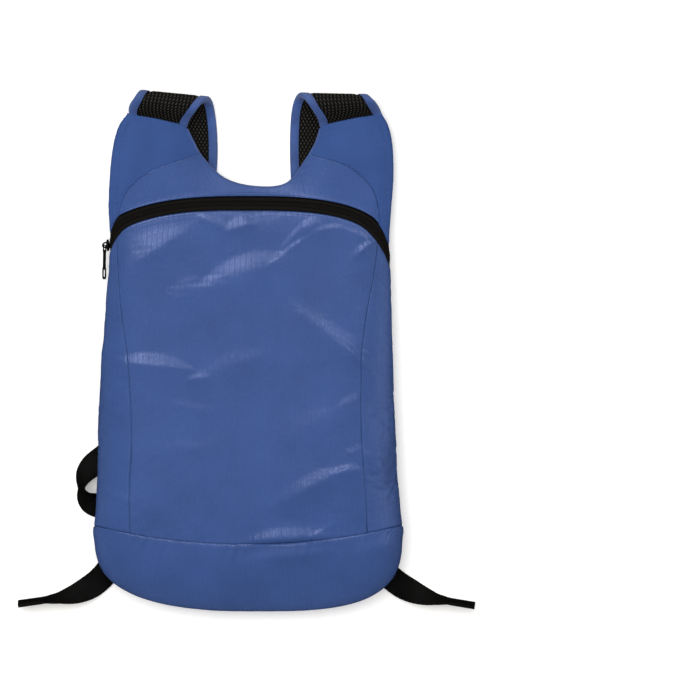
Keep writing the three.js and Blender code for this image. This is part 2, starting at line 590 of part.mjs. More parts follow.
// Back panel, a patch between the back seams and the sewn edges at the top
function backPanel() {
  const cornerY = -176;
  const shares = [outlineShare('left', cornerY), outlineShare('right', cornerY)];
  const seamPoint = (share) => {
    const edge = OUTLINE.getPointAt(share);
    const inward = inwardNormal(OUTLINE, share);
    const tuck = depth('tuck', edge.y) + 2 * GAP;
    return new THREE.Vector2(edge.x + inward.x * tuck, edge.y + inward.y * tuck);
  };
  const corners = [seamPoint(0), seamPoint(1)].map(({ x, y }) => new THREE.Vector2(x, y - 2 * GAP));
  const neck = steps(0.01, 0.99, 16).map((share) => {
    const { x, y } = neckInset(share, NECK_INSET + 3 * GAP);
    return new THREE.Vector2(x, y);
  });
  neck[0].y -= GAP;
  neck[neck.length - 1].y -= GAP;
  const top = new THREE.CurvePath();
  const line = [corners[0], ...neck, corners[1]];
  for (let i = 1; i < line.length; i += 1) top.add(new THREE.LineCurve(line[i - 1], line[i]));
  const left = (v) => (v < 1 ? seamPoint(lerp(shares[0], 0, v)) : corners[0]);
  const right = (v) => (v < 1 ? seamPoint(lerp(shares[1], 1, v)) : corners[1]);
  const low = (u) => seamPoint(lerp(shares[0], shares[1], u));
  const blend = (u, v, key) => {
    const across = lerp(left(v)[key], right(v)[key], u);
    const along = lerp(low(u)[key], top.getPointAt(u)[key], v);
    const bottom = lerp(low(0)[key], low(1)[key], u);
    return across + along - lerp(bottom, lerp(corners[0][key], corners[1][key], u), v);
  };
  return wall(steps(0, 1, 17), steps(0, 1, 17), (u, v, inset) => {
    const [x, y] = [blend(u, v, 'x'), blend(u, v, 'y')];
    return [x, y, backHeight(x, y) + inset];
  });
}

// Bound edge of the neckline, a flat strip that closes the front against the back
function neckBinding() {
  const profile = [[0, 0.25], [0, 0.75], [0.5, 1], [1, 1], [1, 0], [0.5, 0]];
  const sections = steps(0.02, 0.98, 26).map((share) =>
    profile.map(([inward, up]) => {
      const { x, y } = neckInset(share, inward * NECK_BINDING);
      return [x, y, lerp(backHeight(x, y), frontHeight(x, y, 0) + GAP, up)];
    }),
  );
  return bar(profile, sections);
}

// Zip: stations run from the left back seam across the front to the right back seam
const ZIP_TURNS = [...steps(-90, 0, 3), ...steps(0, 90, 8).slice(1)];

function zipStations() {
  const left = ZIP_TURNS.map((degrees) => ({ side: 'left', turn: degrees * DEGREE }));
  const right = ZIP_TURNS.map((degrees) => ({ side: 'right', turn: degrees * DEGREE }));
  const middle = steps(0, 1, 16).slice(1, -1).map((share) => ({ share }));
  return [...left, ...middle, ...right.reverse()];
}

function zipPoint({ side, turn, share }, offset, inset) {
  if (side) return flankPoint(side, zipLevel(side, turn, offset), turn, inset);
  const across = (depth) => {
    const ends = ['left', 'right'].map((end) =>
      flankX(end, zipLevel(end, Math.PI / 2, offset), Math.PI / 2, depth),
    );
    return lerp(ends[0], ends[1], share);
  };
  return frontPoint(across(inset), zipEdge(across(0), offset), inset);
}

function zipStrip(profile) {
  const sections = zipStations().map((station) =>
    profile.map(([offset, inset]) => zipPoint(station, offset, inset)),
  );
  return bar(profile, sections);
}

function zipTape(direction) {
  const near = direction * (ZIP.coil / 2 + GAP);
  const far = direction * (ZIP.band / 2 - GAP / 2);
  return zipStrip([[near, GAP], [far, GAP], [far, CLOTH], [near, CLOTH]]);
}

function zipCoil() {
  const half = ZIP.coil / 2;
  const flat = half * 0.6;
  const low = CLOTH + GAP;
  return zipStrip([
    [-half, GAP], [-flat, -ZIP.proud], [flat, -ZIP.proud], [half, GAP], [flat, low], [-flat, low],
  ]);
}

// Strap: bars that follow two edges, with the thickness square to both
const FOLD_ROWS = 8; // rows of the table from the seam round the fold to the floor

function strapFrames(side) {
  const rows = STRAPS[side];
  const inner = new THREE.CatmullRomCurve3(rows.map((row) => new THREE.Vector3(row.in_x, row.in_y, row.z)));
  const outer = new THREE.CatmullRomCurve3(rows.map((row) => new THREE.Vector3(row.out_x, row.out_y, row.z)));
  const floor = FOLD_ROWS / (rows.length - 1);
  const shares = [...steps(0, floor, 2 * FOLD_ROWS), ...steps(floor, 1, 8).slice(1)];
  return shares.map((share) => {
    const across = outer.getPoint(share).sub(inner.getPoint(share));
    const along = inner.getTangent(share).add(outer.getTangent(share)).normalize();
    const width = across.length();
    across.normalize();
    const up = new THREE.Vector3().crossVectors(along, across).normalize();
    return { origin: inner.getPoint(share), across, up, width };
  });
}

function strapBar(side, profileAt) {
  const frames = strapFrames(side);
  const sections = frames.map(({ origin, across, up, width }) =>
    profileAt(width).map(([w, h]) => {
      const point = origin.clone().addScaledVector(across, w);
      return point.addScaledVector(up, h).toArray();
    }),
  );
  return bar(profileAt(frames[0].width), sections);
}

function strapMesh(side) {
  const edge = STRAP.tape + STRAP.slack;
  const thin = STRAP.thick / 2 - STRAP.tape - STRAP.slack;
  const lip = STRAP.binding + STRAP.slack;
  const shoulder = lip + 1.5;
  const full = thin + STRAP.puff;
  return strapBar(side, (width) => [
    [edge, -thin], [lip, -thin], [shoulder, -full], [width - shoulder, -full], [width - lip, -thin],
    [width - edge, -thin], [width - edge, thin], [width - lip, thin], [width - shoulder, full],
    [shoulder, full], [lip, thin], [edge, thin],
  ]);
}

function strapBinding(side, edge) {
  const half = STRAP.thick / 2;
  const inside = half - STRAP.tape;
  const section = [
    [0, -half], [STRAP.binding, -half], [STRAP.binding, -inside], [STRAP.tape, -inside],
    [STRAP.tape, inside], [STRAP.binding, inside], [STRAP.binding, half], [0, half],
  ];
  return strapBar(side, (width) => (edge === 'inner' ? section : section.map(([w, h]) => [width - w, h])));
}

// Webbing: a flat band along its table, whose thickness is square to its path and to its width
function webbing(side) {
  const rows = WEBBINGS[side];
  const path = new THREE.CatmullRomCurve3(rows.map(({ x, y, z }) => new THREE.Vector3(x, y, z)));
  const profile = [[-1, -1], [1, -1], [1, 1], [-1, 1]];
  const sections = rows.map(({ across, stand, thick }, i) => {
    const share = i / (rows.length - 1);
    const width = new THREE.Vector3(Math.cos(across * DEGREE), Math.sin(across * DEGREE), 0);
    width.multiplyScalar(Math.cos(stand * DEGREE)).setZ(Math.sin(stand * DEGREE));
    const face = new THREE.Vector3().crossVectors(path.getTangent(share), width).normalize();
    const middle = path.getPoint(share);
    return profile.map(([w, h]) => {
      const point = middle.clone().addScaledVector(width, (w * WEBBING.width) / 2);
      return point.addScaledVector(face, (h * thick) / 2).toArray();
    });
  });
  return bar(profile, sections);
}

// Ladder lock: a flat plate with two slots, the lower one for the webbing
function rectangle(x, y, width, height) {
  const path = new THREE.Path();
  path.moveTo(x - width / 2, y).lineTo(x + width / 2, y);
  path.lineTo(x + width / 2, y + height).lineTo(x - width / 2, y + height).closePath();
  return path;
}

function ladderLock() {
  const { width, bar: rail, slot, web_slot, thick, corner } = LOCK;
  const height = 3 * rail + 2 * slot;
  const plate = new THREE.Shape();
  const half = width / 2;
  plate.moveTo(-half + corner, 0).lineTo(half - corner, 0).lineTo(half, corner).lineTo(half, height);
  plate.lineTo(-half, height).lineTo(-half, corner).closePath();
  plate.holes.push(rectangle(0, rail, web_slot, slot));
  plate.holes.push(rectangle(0, 2 * rail + slot, web_slot, slot));
  return new THREE.ExtrudeGeometry(plate, { depth: thick, bevelEnabled: false });
}

const LOCK_FOOT_Y = STRAPS.left.at(-1).in_y - GAP - 3 * LOCK.bar - 2 * LOCK.slot;

// Zip slider and pull
const wasm = await Module();
wasm.setup();

function toManifold(geometry) {
  const bare = geometry.clone();
  bare.deleteAttribute('normal');
  bare.deleteAttribute('uv');
  const merged = mergeVertices(bare, 1e-4);
  const corners = Array.from(merged.index.array);
  const triangles = Array.from({ length: corners.length / 3 }, (_, i) => corners.slice(3 * i, 3 * i + 3));
  const sound = triangles.filter((triangle) => new Set(triangle).size === 3);
  const mesh = new wasm.Mesh({
    numProp: 3,
    vertProperties: new Float32Array(merged.attributes.position.array),
    triVerts: new Uint32Array(sound.flat()),
  });
  return new wasm.Manifold(mesh);
}

function fromManifold(solid) {
  const mesh = solid.getMesh();
  const geometry = new THREE.BufferGeometry();
  geometry.setAttribute('position', new THREE.BufferAttribute(mesh.vertProperties, 3));
  geometry.setIndex(new THREE.BufferAttribute(mesh.triVerts, 1));
  return geometry;
}

// Seat of the slider, with x along the zip and z out of it, and hinge of the pull over that seat
function sliderSeat() {
  const turn = SLIDER.turn * DEGREE;
  const reach = 4 * DEGREE;
  const clear = -ZIP.proud - GAP;
  const at = (angle, offset) => new THREE.Vector3(...zipPoint({ side: 'left', turn: angle }, offset, clear));
  const origin = at(turn, 0);
  const run = at(turn - reach, 0).sub(at(turn + reach, 0)).normalize();
  const rise = at(turn, ZIP.coil / 2).sub(at(turn, -ZIP.coil / 2));
  const out = new THREE.Vector3().crossVectors(rise, run).normalize();
  const seat = new THREE.Matrix4().makeBasis(run, new THREE.Vector3().crossVectors(out, run), out);
  const heading = PULL_HEADING.clone().normalize();
  const facing = new THREE.Vector3(0, 0, PULL.tilt).add(out);
  const across = new THREE.Vector3().crossVectors(facing, heading).normalize();
  const face = new THREE.Vector3().crossVectors(heading, across);
  const hinge = new THREE.Matrix4().makeBasis(heading, across, face);
  const axis = origin.clone().addScaledVector(out, SLIDER.axis);
  return { seat: seat.setPosition(origin), hinge: hinge.setPosition(axis) };
}

function slider({ seat, hinge }) {
  const [long, wide] = [SLIDER.length / 2, SLIDER.width / 2];
  const outline = new THREE.Shape();
  outline.moveTo(-long, -0.6 * wide).lineTo(-0.4 * long, -wide).lineTo(long, -0.8 * wide);
  outline.lineTo(long, 0.8 * wide).lineTo(-0.4 * long, wide).lineTo(-long, 0.6 * wide).closePath();
  const plate = new THREE.ExtrudeGeometry(outline, { depth: SLIDER.plate, bevelEnabled: false });
  const arch = new THREE.Shape();
  arch.moveTo(BAIL.outer, -BAIL.leg).lineTo(BAIL.outer, 0).absarc(0, 0, BAIL.outer, 0, Math.PI);
  arch.lineTo(-BAIL.outer, -BAIL.leg).closePath();
  arch.holes.push(new THREE.Path().absarc(0, 0, BAIL.inner, 0, 2 * Math.PI, true));
  const bail = new THREE.ExtrudeGeometry(arch, { depth: BAIL.width, bevelEnabled: false, curveSegments: 8 });
  bail.translate(0, 0, -BAIL.width / 2).rotateX(Math.PI / 2);
  bail.applyMatrix4(seat.clone().invert().multiply(hinge));
  return fromManifold(toManifold(plate).add(toManifold(bail)));
}

// Pull: a bar with an eye round the bail and a slotted, round end
function pull() {
  const tip = PULL_EDGE.at(-1);
  const lower = PULL_EDGE.map(({ along, half }) => new THREE.Vector2(along, -half));
  const upper = PULL_EDGE.map(({ along, half }) => new THREE.Vector2(along, half));
  const tab = new THREE.Shape(lower);
  tab.absarc(tip.along, 0, tip.half, -Math.PI / 2, Math.PI / 2);
  upper.reverse().slice(1).forEach(({ x, y }) => tab.lineTo(x, y));
  tab.closePath();
  for (const { from, to, half } of [PULL_EYE, PULL_SLOT]) {
    tab.holes.push(rectangle((from + to) / 2, -half, to - from, 2 * half));
  }
  const solid = { depth: PULL.thick, bevelEnabled: false, curveSegments: 8 };
  const geometry = new THREE.ExtrudeGeometry(tab, solid);
  return geometry.translate(0, 0, -PULL.thick / 2);
}

// Assembly
const backpack = new THREE.Group();

function add(name, geometry, finish) {
  const mesh = new THREE.Mesh(geometry, new THREE.MeshStandardMaterial(MATERIALS[finish]));
  mesh.name = name;
  backpack.add(mesh);
  return mesh;
}

add('front_panel', frontPanel(), 'nylon');
add('bottom_panel', bottomPanel(), 'nylon');
add('yoke_panel', yokePanel(), 'nylon');
add('back_panel', backPanel(), 'nylon');
add('neck_binding', neckBinding(), 'binding');
add('zip_tape_upper', zipTape(1), 'zip');
add('zip_tape_lower', zipTape(-1), 'zip');
add('zip_coil', zipCoil(), 'zip');

for (const side of ['left', 'right']) {
  add(`side_panel_${side}`, sidePanel(side), 'nylon');
  add(`shoulder_panel_${side}`, shoulderPanel(side), 'nylon');
  add(`strap_mesh_${side}`, strapMesh(side), 'mesh');
  add(`strap_binding_inner_${side}`, strapBinding(side, 'inner'), 'binding');
  add(`strap_binding_outer_${side}`, strapBinding(side, 'outer'), 'binding');
  add(`webbing_${side}`, webbing(side), 'webbing');
  const lock = add(`ladder_lock_${side}`, ladderLock(), 'lock');
  const end = STRAPS[side].at(-1);
  lock.position.set((end.in_x + end.out_x) / 2, LOCK_FOOT_Y, LOCK.low);
}

const zipEnd = sliderSeat();
add('zip_slider', slider(zipEnd), 'slider').applyMatrix4(zipEnd.seat);
add('zip_pull', pull(), 'slider').applyMatrix4(zipEnd.hinge);

export default backpack;
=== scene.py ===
"""Dresses the solids of a light sports backpack: sewn nylon, zip, mesh straps, webbing and fittings."""
import json
import math

import bpy
import numpy as np
from mathutils import Matrix, Vector


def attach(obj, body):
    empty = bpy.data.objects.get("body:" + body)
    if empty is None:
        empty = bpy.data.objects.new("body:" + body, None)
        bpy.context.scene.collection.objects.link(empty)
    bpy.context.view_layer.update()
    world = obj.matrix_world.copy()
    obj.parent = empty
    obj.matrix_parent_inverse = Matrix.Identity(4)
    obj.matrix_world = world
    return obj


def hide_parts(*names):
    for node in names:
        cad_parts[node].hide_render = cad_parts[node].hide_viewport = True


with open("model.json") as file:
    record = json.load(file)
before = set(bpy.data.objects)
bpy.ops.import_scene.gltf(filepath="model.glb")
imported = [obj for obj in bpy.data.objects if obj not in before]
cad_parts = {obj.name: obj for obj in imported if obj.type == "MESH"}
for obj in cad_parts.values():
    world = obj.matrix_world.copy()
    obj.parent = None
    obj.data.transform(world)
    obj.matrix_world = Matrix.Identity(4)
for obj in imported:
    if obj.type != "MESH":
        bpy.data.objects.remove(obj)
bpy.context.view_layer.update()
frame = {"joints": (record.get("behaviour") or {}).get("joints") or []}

bl_info = {
    "name": "Sports backpack",
    "version": (1, 0, 0),
    "blender": (4, 5, 0),
    "location": "3D View > Sidebar > Backpack",
    "description": "Sewn nylon panels, zip, mesh straps, webbing and fittings of a light sports backpack",
    "category": "Object",
}

# Driving dimensions in millimetres, as in the solids
MM = 0.001
GAP = 0.3
SEAM_GAP = 0.02
FLOOR_GAP = 0.02
NECK_TUCK = 1.4
TOP_Y = 189.0
WIDE_Y = -142.0
BACK_LOW_Y = -176.0
BOTTOM_DEPTH = 67.2
CORNER_POWER = {"left": 2.3, "right": 3.4, "down": 3.2}
STRAP_ROOM = 7.0
REST_PATCH = {"half": 34.0, "top": -60.0, "ease_across": 16.0, "ease_along": 40.0}
NECK_RISE = {"height": 3.0, "from": 60.0}
SEWN_EDGE = {"height": 4.0, "roll": 40.0, "blend": 3.0}
SHOULDER_RISE = {"height": 2.6, "reach": 15.0, "crease": 0.8, "from_outline": (2, 18), "from_neck": (1, 18)}
SHOULDER_TOP = {"swell": 0.9, "reach": 5.0, "flap": 2.2, "flap_end": 0.8}
BOTTOM_SEAM = {"middle": -155.0, "rise": 14.5, "half": 122.0}
ZIP = {"top": 117.3, "sag": 18.5, "band": 10.4, "coil": 4.0, "proud": 0.8, "wrap": 24.0, "widest": 1.4}
ZIP_ENDS = {"half": (110.0, 109.0), "drop": (11.0, 12.0), "power": (24.0, 12.0)}
NECK_BINDING = {"width": 2.4, "squareness": 0.7, "from": 0.008, "to": 0.992}
NECK_SHARES = {"left": (0.004, 0.15), "right": (0.996, 0.855)}
ZIP_HEM = {
    "pucker": 0.15, "stitch": 2.4, "stitch_wide": 0.6, "stitch_dip": 0.2, "edge_dip": 0.8, "edge_wide": 1.0,
}
TOOTH = {"lean": 0.12, "thick": 0.3, "end": 0.7, "above": 0.25, "below": 0.35}
STRAP = {
    "thick": 4.8, "binding": 7.0, "tape": 0.75, "slack": 0.6, "puff": 1.2, "puff_run": 4.0, "root": 2.2,
    "root_sink": 0.6, "skin": 0.75,
}
KNIT = {"thick": 0.6, "end": 2.0, "underlap": 0.2, "hole": (0.6, 0.66), "sink": 0.22, "dark": 0.12}
WEBBING = {
    "width": 20.0, "thick": 1.2, "hem": (1.4, 2.4, 2.4), "step": 0.42, "rib": 1.68, "rib_height": 0.075,
    "waver": 0.004, "soften": 7,
}
LOCK = {
    "width": 28.0, "bar": 3.0, "slot": 4.0, "web_slot": 23.0, "thick": 2.4, "low": 1.8, "foot": -51.3,
    "x": 78.0, "corner": 2.0, "slot_corner": 0.6, "bevel": 0.5,
}
SLIDER = {"turn": -12.0, "seat_turn": 4.0, "length": 9.0, "width": 7.0, "plate": 1.5, "bevel": 0.45}
BAIL = {"ring": 1.95, "wire": 0.62, "drop": 0.78, "stretch": 1.4}
PULL = {"thick": 1.2, "bevel": 0.3, "tip": 26.0, "half": 2.0}
PULL_HEADING = Vector((-0.02, -1.0, -0.2)).normalized()
SIGN = {"left": -1.0, "right": 1.0}
SIDES_OF_BAG = ("left", "right")
BAG_MIDDLE = {"share": 0.8, "z": 26.0}
THREAD = {"fill": 0.72, "width": 0.55, "height": 0.3, "look": 0.4}
STITCH_ROWS = {
    "shoulder": 6.4, "from_y": 106.0, "to_y": 184.0, "strap": 5.6, "strap_rise": 2.15, "zip_ends": 40,
}

# Section of the flap over the root of a strap: share of its reach, rise over the edge of the panel
FLAP_SECTION = ((0.95, -0.5), (1.0, -0.1), (0.5, 0.05))

# Unevenness of the cloth: wavelengths and shares, slack of the sides and the yoke, puckers along a seam
SLACK = {
    "patch": (45, 110), "crease": (6, 14), "swell": (22, 46), "ripple": (8, 16),
    "patch_share": 0.9, "patch_shift": 0.1, "patch_most": 1.3,
    "crease_share": 0.85, "swell_share": 0.6, "ripple_share": 0.25, "side": 2.6, "yoke": 0.3,
}
BINDING_WAVER = {"height": 0.1, "waves": (9, 24)}
CREASE_STRETCH = (0.3, 1.2, 1.0)
PUCKER = {
    "waves": (5, 13), "gathers": (40, 90), "even_share": 0.6, "gather_share": 0.5, "reach": 8.0, "start": 2.2,
}
SEAM_DIP_WIDE = 0.5
RIM = {"roll": 0.9, "wide": 5.0, "dip": 1.0, "dip_wide": 0.8}
WELT = {"column": 39, "distance": 5.8, "dip": 0.45, "wide": 0.7}

# Distance that stands for no seam near by
NO_SEAM = 99.0

# Rounds that settle where a line crosses the rolled flank
ROUNDS = 12

# Welding distances in metres, and the angles up to which an edge is shaded smooth
KNIT_WELD = 0.00005
PLATE_WELD = 0.00001
SMOOTH_ANGLE = math.radians(40)
JOINED_ANGLE = math.radians(35)


def table(columns, *rows):
    """Named columns of a table that is written row by row."""
    return dict(zip(columns.split(), np.array(rows, float).T))


# Half widths of the body by level
SIDES = table(
    "y left right",
    (-142, 122.8, 124), (-105, 120.4, 120.6), (-50, 119.4, 118), (0, 116.3, 116.2), (50, 112.4, 115),
    (88, 110.2, 113.6), (115, 111.5, 115.2), (140, 110.4, 116.8), (165, 107.4, 116), (180, 103, 112.6),
    (189, 96.4, 107.6),
)

# Depth of the body by level
DEPTHS = table(
    "y crown edge roll tuck",
    (-208, 41, 23, 42, 14), (-160, 50, 24, 44, 14), (-100, 52, 24, 44, 14), (0, 41, 22, 40, 12),
    (110, 25.5, 16.5, 30, 9), (150, 19.8, 14.3, 24, 7), (190, 15.6, 13.4, 16, 5),
)

# Seams between the front and the side panels, as distances from the middle
FRONT_SEAMS = table(
    "y left right",
    (-147, 93.4, 96), (-114, 94, 94.4), (-80, 92.6, 91.8), (-45, 93, 90.8), (0, 96.6, 91.6),
    (30, 101, 95.4), (55, 103.2, 100.2), (88, 105, 105),
)

NECKLINE = np.array([
    (-48.4, 178.8), (-42.8, 167.5), (-36.5, 156), (-18, 138), (8, 131.4), (31, 134.2), (46, 153),
    (54, 167), (57.8, 178.8),
])

# Seams between the yoke and the shoulders, from the neckline down to the end of the zip
YOKE_SEAMS = {
    "left": np.array([
        (-47, 154.2), (-60, 150), (-74, 144.8), (-82, 140), (-89, 134.6), (-96, 127.4), (-100, 119.8),
        (-102.6, 112),
    ]),
    "right": np.array([
        (56, 154.4), (66, 152), (78, 148), (86, 142.6), (94, 135.6), (100, 128.6), (103.4, 119.6), (105, 111),
    ]),
}

# Shape of a fold along its half length: where its flank narrows, and where it fades out
FOLD_ENDS = {"narrows": (0.1, 1.15), "gone": 1.1, "fade": 0.5}
FOLD_CALM = {"outline": (2, 13), "sewn": (4, 30)}

# Folds of the slack cloth: middle of the ridge, direction in degrees, half length, width of the flank above
# the ridge, fall below it, softness of the flank's upper end and of the ridge, height
FOLDS = table(
    "x y turn length flank fall upper ridge height",
    (-86, 71.5, 33, 62, 20, 25, 5, 2.4, 5.2),
    (-26.8, 100.8, -28, 18.8, 8, 8, 2, 1.2, 2.2),
    (-5.2, 98.4, 18, 18.8, 9, 9, 2, 1.2, 2.6),
    (-1, 62.2, 19, 48, 15, 30, 2, 5, 4.6),
    (-48, 47, 20, 30, 10, 16, 4, 4, 2.4),
    (38.8, 92.8, 45, 22.5, 3.5, 4, 0.8, 0.8, 1.3),
    (50.4, 97.6, 38, 13.8, 8, 6, 2, 1.5, 2.2),
    (35.6, 81.6, 35, 30, 3.5, 14, 0.8, 0.8, 1.4),
    (64.4, 96.8, 9, 18.8, 3.5, 10, 1, 0.8, 1.4),
    (86.8, 92.8, -22, 21.2, 3.5, 8, 1, 0.8, 1.4),
    (94, 80.8, 37, 18, 5.5, 6, 1.5, 0.8, 2.9),
    (68, 8.9, -39.5, 54, 10, 20, 6, 2.5, 4.4),
    (-76, -12.6, -6, 44, 10.5, 18, 1.2, 1, 4),
    (-39.6, -23.2, 8, 13.8, 5, 6, 2, 1, 1.9),
    (-10, -12, 18, 37.5, 11, 16, 5, 5, 3),
    (-43.6, -46.4, -13, 25, 5, 8, 3, 1.2, 1.5),
    (-44.4, -78.4, 0, 30, 7, 10, 4, 3, 2),
    (56.4, -59.2, 24, 50, 14, 20, 8, 6, 3.3),
    (82, -41.6, 26, 15, 6, 8, 3, 2, 1.8),
    (51.6, -108.8, 27, 44, 11, 18, 2.5, 1.2, 4.6),
    (82, -96.8, 6, 17.5, 6, 10, 1.2, 1, 2.4),
    (83.6, -81.6, 22, 12.5, 4, 5, 1.5, 1, 1.3),
    (106, -92.8, -34, 27.5, 14, 10, 5, 3, 3.5),
    (-103.6, -116.8, -21, 18.8, 6, 8, 2, 1, 2.2),
    (-82, -124, -50, 22.5, 6, 8, 3, 3, 1.3),
    (32, -150.8, 4, 46, 11, 4, 2.5, 1, 6),
    (58.8, -144.8, 32, 18.8, 2.5, 3, 0.8, 0.6, 1.2),
    (34, -164, 6, 44, 10, 8, 1.2, 2, 6.4),
    (104, -158, 15, 27.5, 10, 10, 4, 4, 2.6),
    (-112, -25, -8, 12.5, 5, 6, 2, 1, 1.3),
)

# Straps from the shoulder seam over the fold and down under the bag: both edges, and the height of the middle
STRAP_COLUMNS = "in_x in_y out_x out_y z"
STRAPS = {
    "left": table(
        STRAP_COLUMNS,
        (-48.4, 179.3, -95.2, 189.6, 12), (-47.6, 181.4, -95.3, 191.2, 12.6),
        (-45.6, 185.8, -95.2, 194.2, 16), (-42.5, 190, -93.8, 197.4, 20.4),
        (-37.9, 195.6, -91.2, 201.2, 23), (-33.6, 199.4, -88.6, 204.8, 21.4),
        (-30.6, 200.8, -86, 206.2, 15.4), (-27.8, 197.4, -83.4, 202.4, 8),
        (-26, 188.6, -81.6, 192.6, 3.8), (-24.4, 171.4, -80, 173.4, 2.7), (-24.8, 144, -80, 144, 2.7),
        (-33, 95, -86, 95, 2.7), (-47, 40, -93, 40, 2.7), (-58, 0, -95, 0, 2.7),
        (-64, -34, -92, -34, 2.8),
    ),
    "right": table(
        STRAP_COLUMNS,
        (57.8, 179.3, 107.4, 189.6, 12), (57.2, 181.6, 106.8, 191.2, 12.4),
        (55.8, 186, 105.2, 194.4, 16), (52.8, 191, 103.4, 197, 20.4), (48.4, 197.2, 101, 200, 23),
        (44.8, 202, 98, 202, 21.4), (41.2, 204, 95.4, 202.6, 15.4), (37.8, 201.2, 93, 199.4, 8),
        (35.4, 192.8, 91.2, 191.2, 3.8), (34, 175.4, 90.2, 174.2, 2.7), (34.2, 144, 90, 144, 2.7),
        (38, 95, 91, 95, 2.7), (49, 40, 95, 40, 2.7), (58, 0, 95, 0, 2.7), (64, -34, 92, -34, 2.8),
    ),
}

# Webbing from its anchor in the side seam through the lock to the end of its tail: middle of the band, the
# way its width points and how far it stands on edge, in degrees
WEBBING_COLUMNS = "x y z across stand"
WEBBINGS = {
    "left": table(
        WEBBING_COLUMNS,
        (-105.8, -124, 5.9, 90, 0), (-112, -124, 5, 90, 0), (-117.6, -124.4, 2.6, 90, 6),
        (-122.8, -124.2, 4.5, 84, 20), (-127.8, -121.6, 6.6, 56, 34), (-131.8, -116.4, 9.4, 22, 58),
        (-133.2, -111, 10.7, 0, 77), (-132.6, -106, 9.6, -8, 62), (-130.2, -99.6, 7.4, -27, 40),
        (-124.6, -92.8, 3.9, -46, 18), (-116.6, -86.6, 1.5, -54, 4), (-106, -78.6, 0.9, -52, 0),
        (-93, -66, 0.9, -42, 0), (-83, -58, 0.9, -22, 0), (-78.4, -53, 0.9, -4, 0),
        (-78, -48.4, 0.9, 0, 0), (-78, -46.9, 1.5, 0, 0), (-78, -46.2, 3, 0, 0),
        (-78, -46.9, 4.5, 0, 0), (-78, -48.4, 5.1, 0, 0), (-78.2, -53, 5, -2, 0),
        (-79.4, -61, 3.6, -6, 0), (-81.4, -71, 2.7, -9, 0), (-84.6, -88, 2.5, -11, 0),
        (-89, -112, 1.2, -12, 0), (-95, -138, 0.9, -17, 0), (-103.6, -162, 0.9, -28, 0),
        (-113.6, -178.4, 1.1, -42, 2), (-123.8, -188.2, 1.9, -50, 6), (-137, -195, 7, -68, 36),
        (-151, -198.6, 10, -80, 65), (-162, -200.2, 10.7, -84, 77), (-167, -201, 11, -84, 80),
        (-184, -203.4, 11, -83, 80),
    ),
    "right": table(
        WEBBING_COLUMNS,
        (107.6, -116, 5.9, 30, 0), (104, -109, 4.6, 28, 0), (100, -100, 2, 26, 0),
        (95, -89, 0.9, 26, 0), (87, -71, 0.9, 22, 0), (81, -59, 0.9, 14, 0), (78.4, -53, 0.9, 4, 0),
        (78, -48.4, 0.9, 0, 0), (78, -46.9, 1.5, 0, 0), (78, -46.2, 3, 0, 0), (78, -46.9, 4.5, 0, 0),
        (78, -48.4, 5.1, 0, 0), (77.6, -53, 5, -4, 0), (76, -61, 3.6, -7, 0), (74.6, -73, 2.7, -4, 0),
        (74, -88, 2.5, 2, 0), (76.4, -112, 1.2, 10, 0), (84, -138, 0.9, 22, 0),
        (97.6, -163, 0.9, 35, 0), (112, -180, 1.1, 45, -2), (124, -189.4, 1.9, 54, -6),
        (137.6, -195.8, 7, 70, -36), (151, -199.6, 10, 80, -65), (160, -201, 10.7, 82, -77),
        (164, -201.8, 11, 81, -80), (182, -204.8, 11, 80, -80),
    ),
}

# Studio in metres: place and size of each lamp, floor and camera back
LAMPS = {
    "key": ((-0.46, 1.48, 1.12), (0.55, 0.4)),
    "side": ((0.82, 1.28, 1.12), (0.55, 0.4)),
    "edge": ((1.6, 0.1, 0.75), (0.6, 0.9)),
    "fill": ((-0.55, 0.55, 3.3), (3.0, 3.0)),
}
FLOOR_SIZE = 30.0
SENSOR_WIDTH = 36.0


# Numbers and curves
def lerp(start, end, share):
    return start + (end - start) * share


def ease(value, low, high):
    share = np.clip((value - low) / (high - low), 0, 1)
    return share * share * (3 - 2 * share)


def unit(vectors):
    return vectors / np.maximum(np.linalg.norm(vectors, axis=-1, keepdims=True), 1e-9)


def look_up(rows, key, at):
    """Smooth value of one column of a table whose rows run in order of y."""
    knots, values = rows["y"], rows[key]
    last = len(knots) - 1
    before = np.maximum(np.arange(last + 1) - 1, 0)
    after = np.minimum(np.arange(last + 1) + 1, last)
    slope = (values[after] - values[before]) / (knots[after] - knots[before])
    place = np.clip(at, knots[0], knots[-1])
    i = np.clip(np.searchsorted(knots, place, side="right") - 1, 0, last - 1)
    span = knots[i + 1] - knots[i]
    t = (place - knots[i]) / span
    leave = t * (1 - t) ** 2 * span * slope[i]
    arrive = t * t * (t - 1) * span * slope[i + 1]
    return lerp(values[i], values[i + 1], t * t * (3 - 2 * t)) + leave + arrive


def spline(points, shares):
    """Centripetal curve through points, read at shares of the number of its spans."""
    points = np.asarray(points, float)
    padded = np.vstack([2 * points[0] - points[1], points, 2 * points[-1] - points[-2]])
    place = np.clip(shares, 0, 1) * (len(points) - 1)
    i = np.minimum(place.astype(int), len(points) - 2)
    t = (place - i)[:, None]
    p0, p1, p2, p3 = (padded[i + k] for k in range(4))
    d0, d1, d2 = (np.linalg.norm(b - a, axis=1)[:, None] ** 0.5 for a, b in ((p0, p1), (p1, p2), (p2, p3)))
    leave = d1 * ((p1 - p0) / d0 - (p2 - p0) / (d0 + d1) + (p2 - p1) / d1)
    arrive = d1 * ((p2 - p1) / d1 - (p3 - p1) / (d1 + d2) + (p3 - p2) / d2)
    square, cube = t * t, t * t * t
    return (
        p1 * (2 * cube - 3 * square + 1) + leave * (cube - 2 * square + t)
        + p2 * (3 * square - 2 * cube) + arrive * (cube - square)
    )


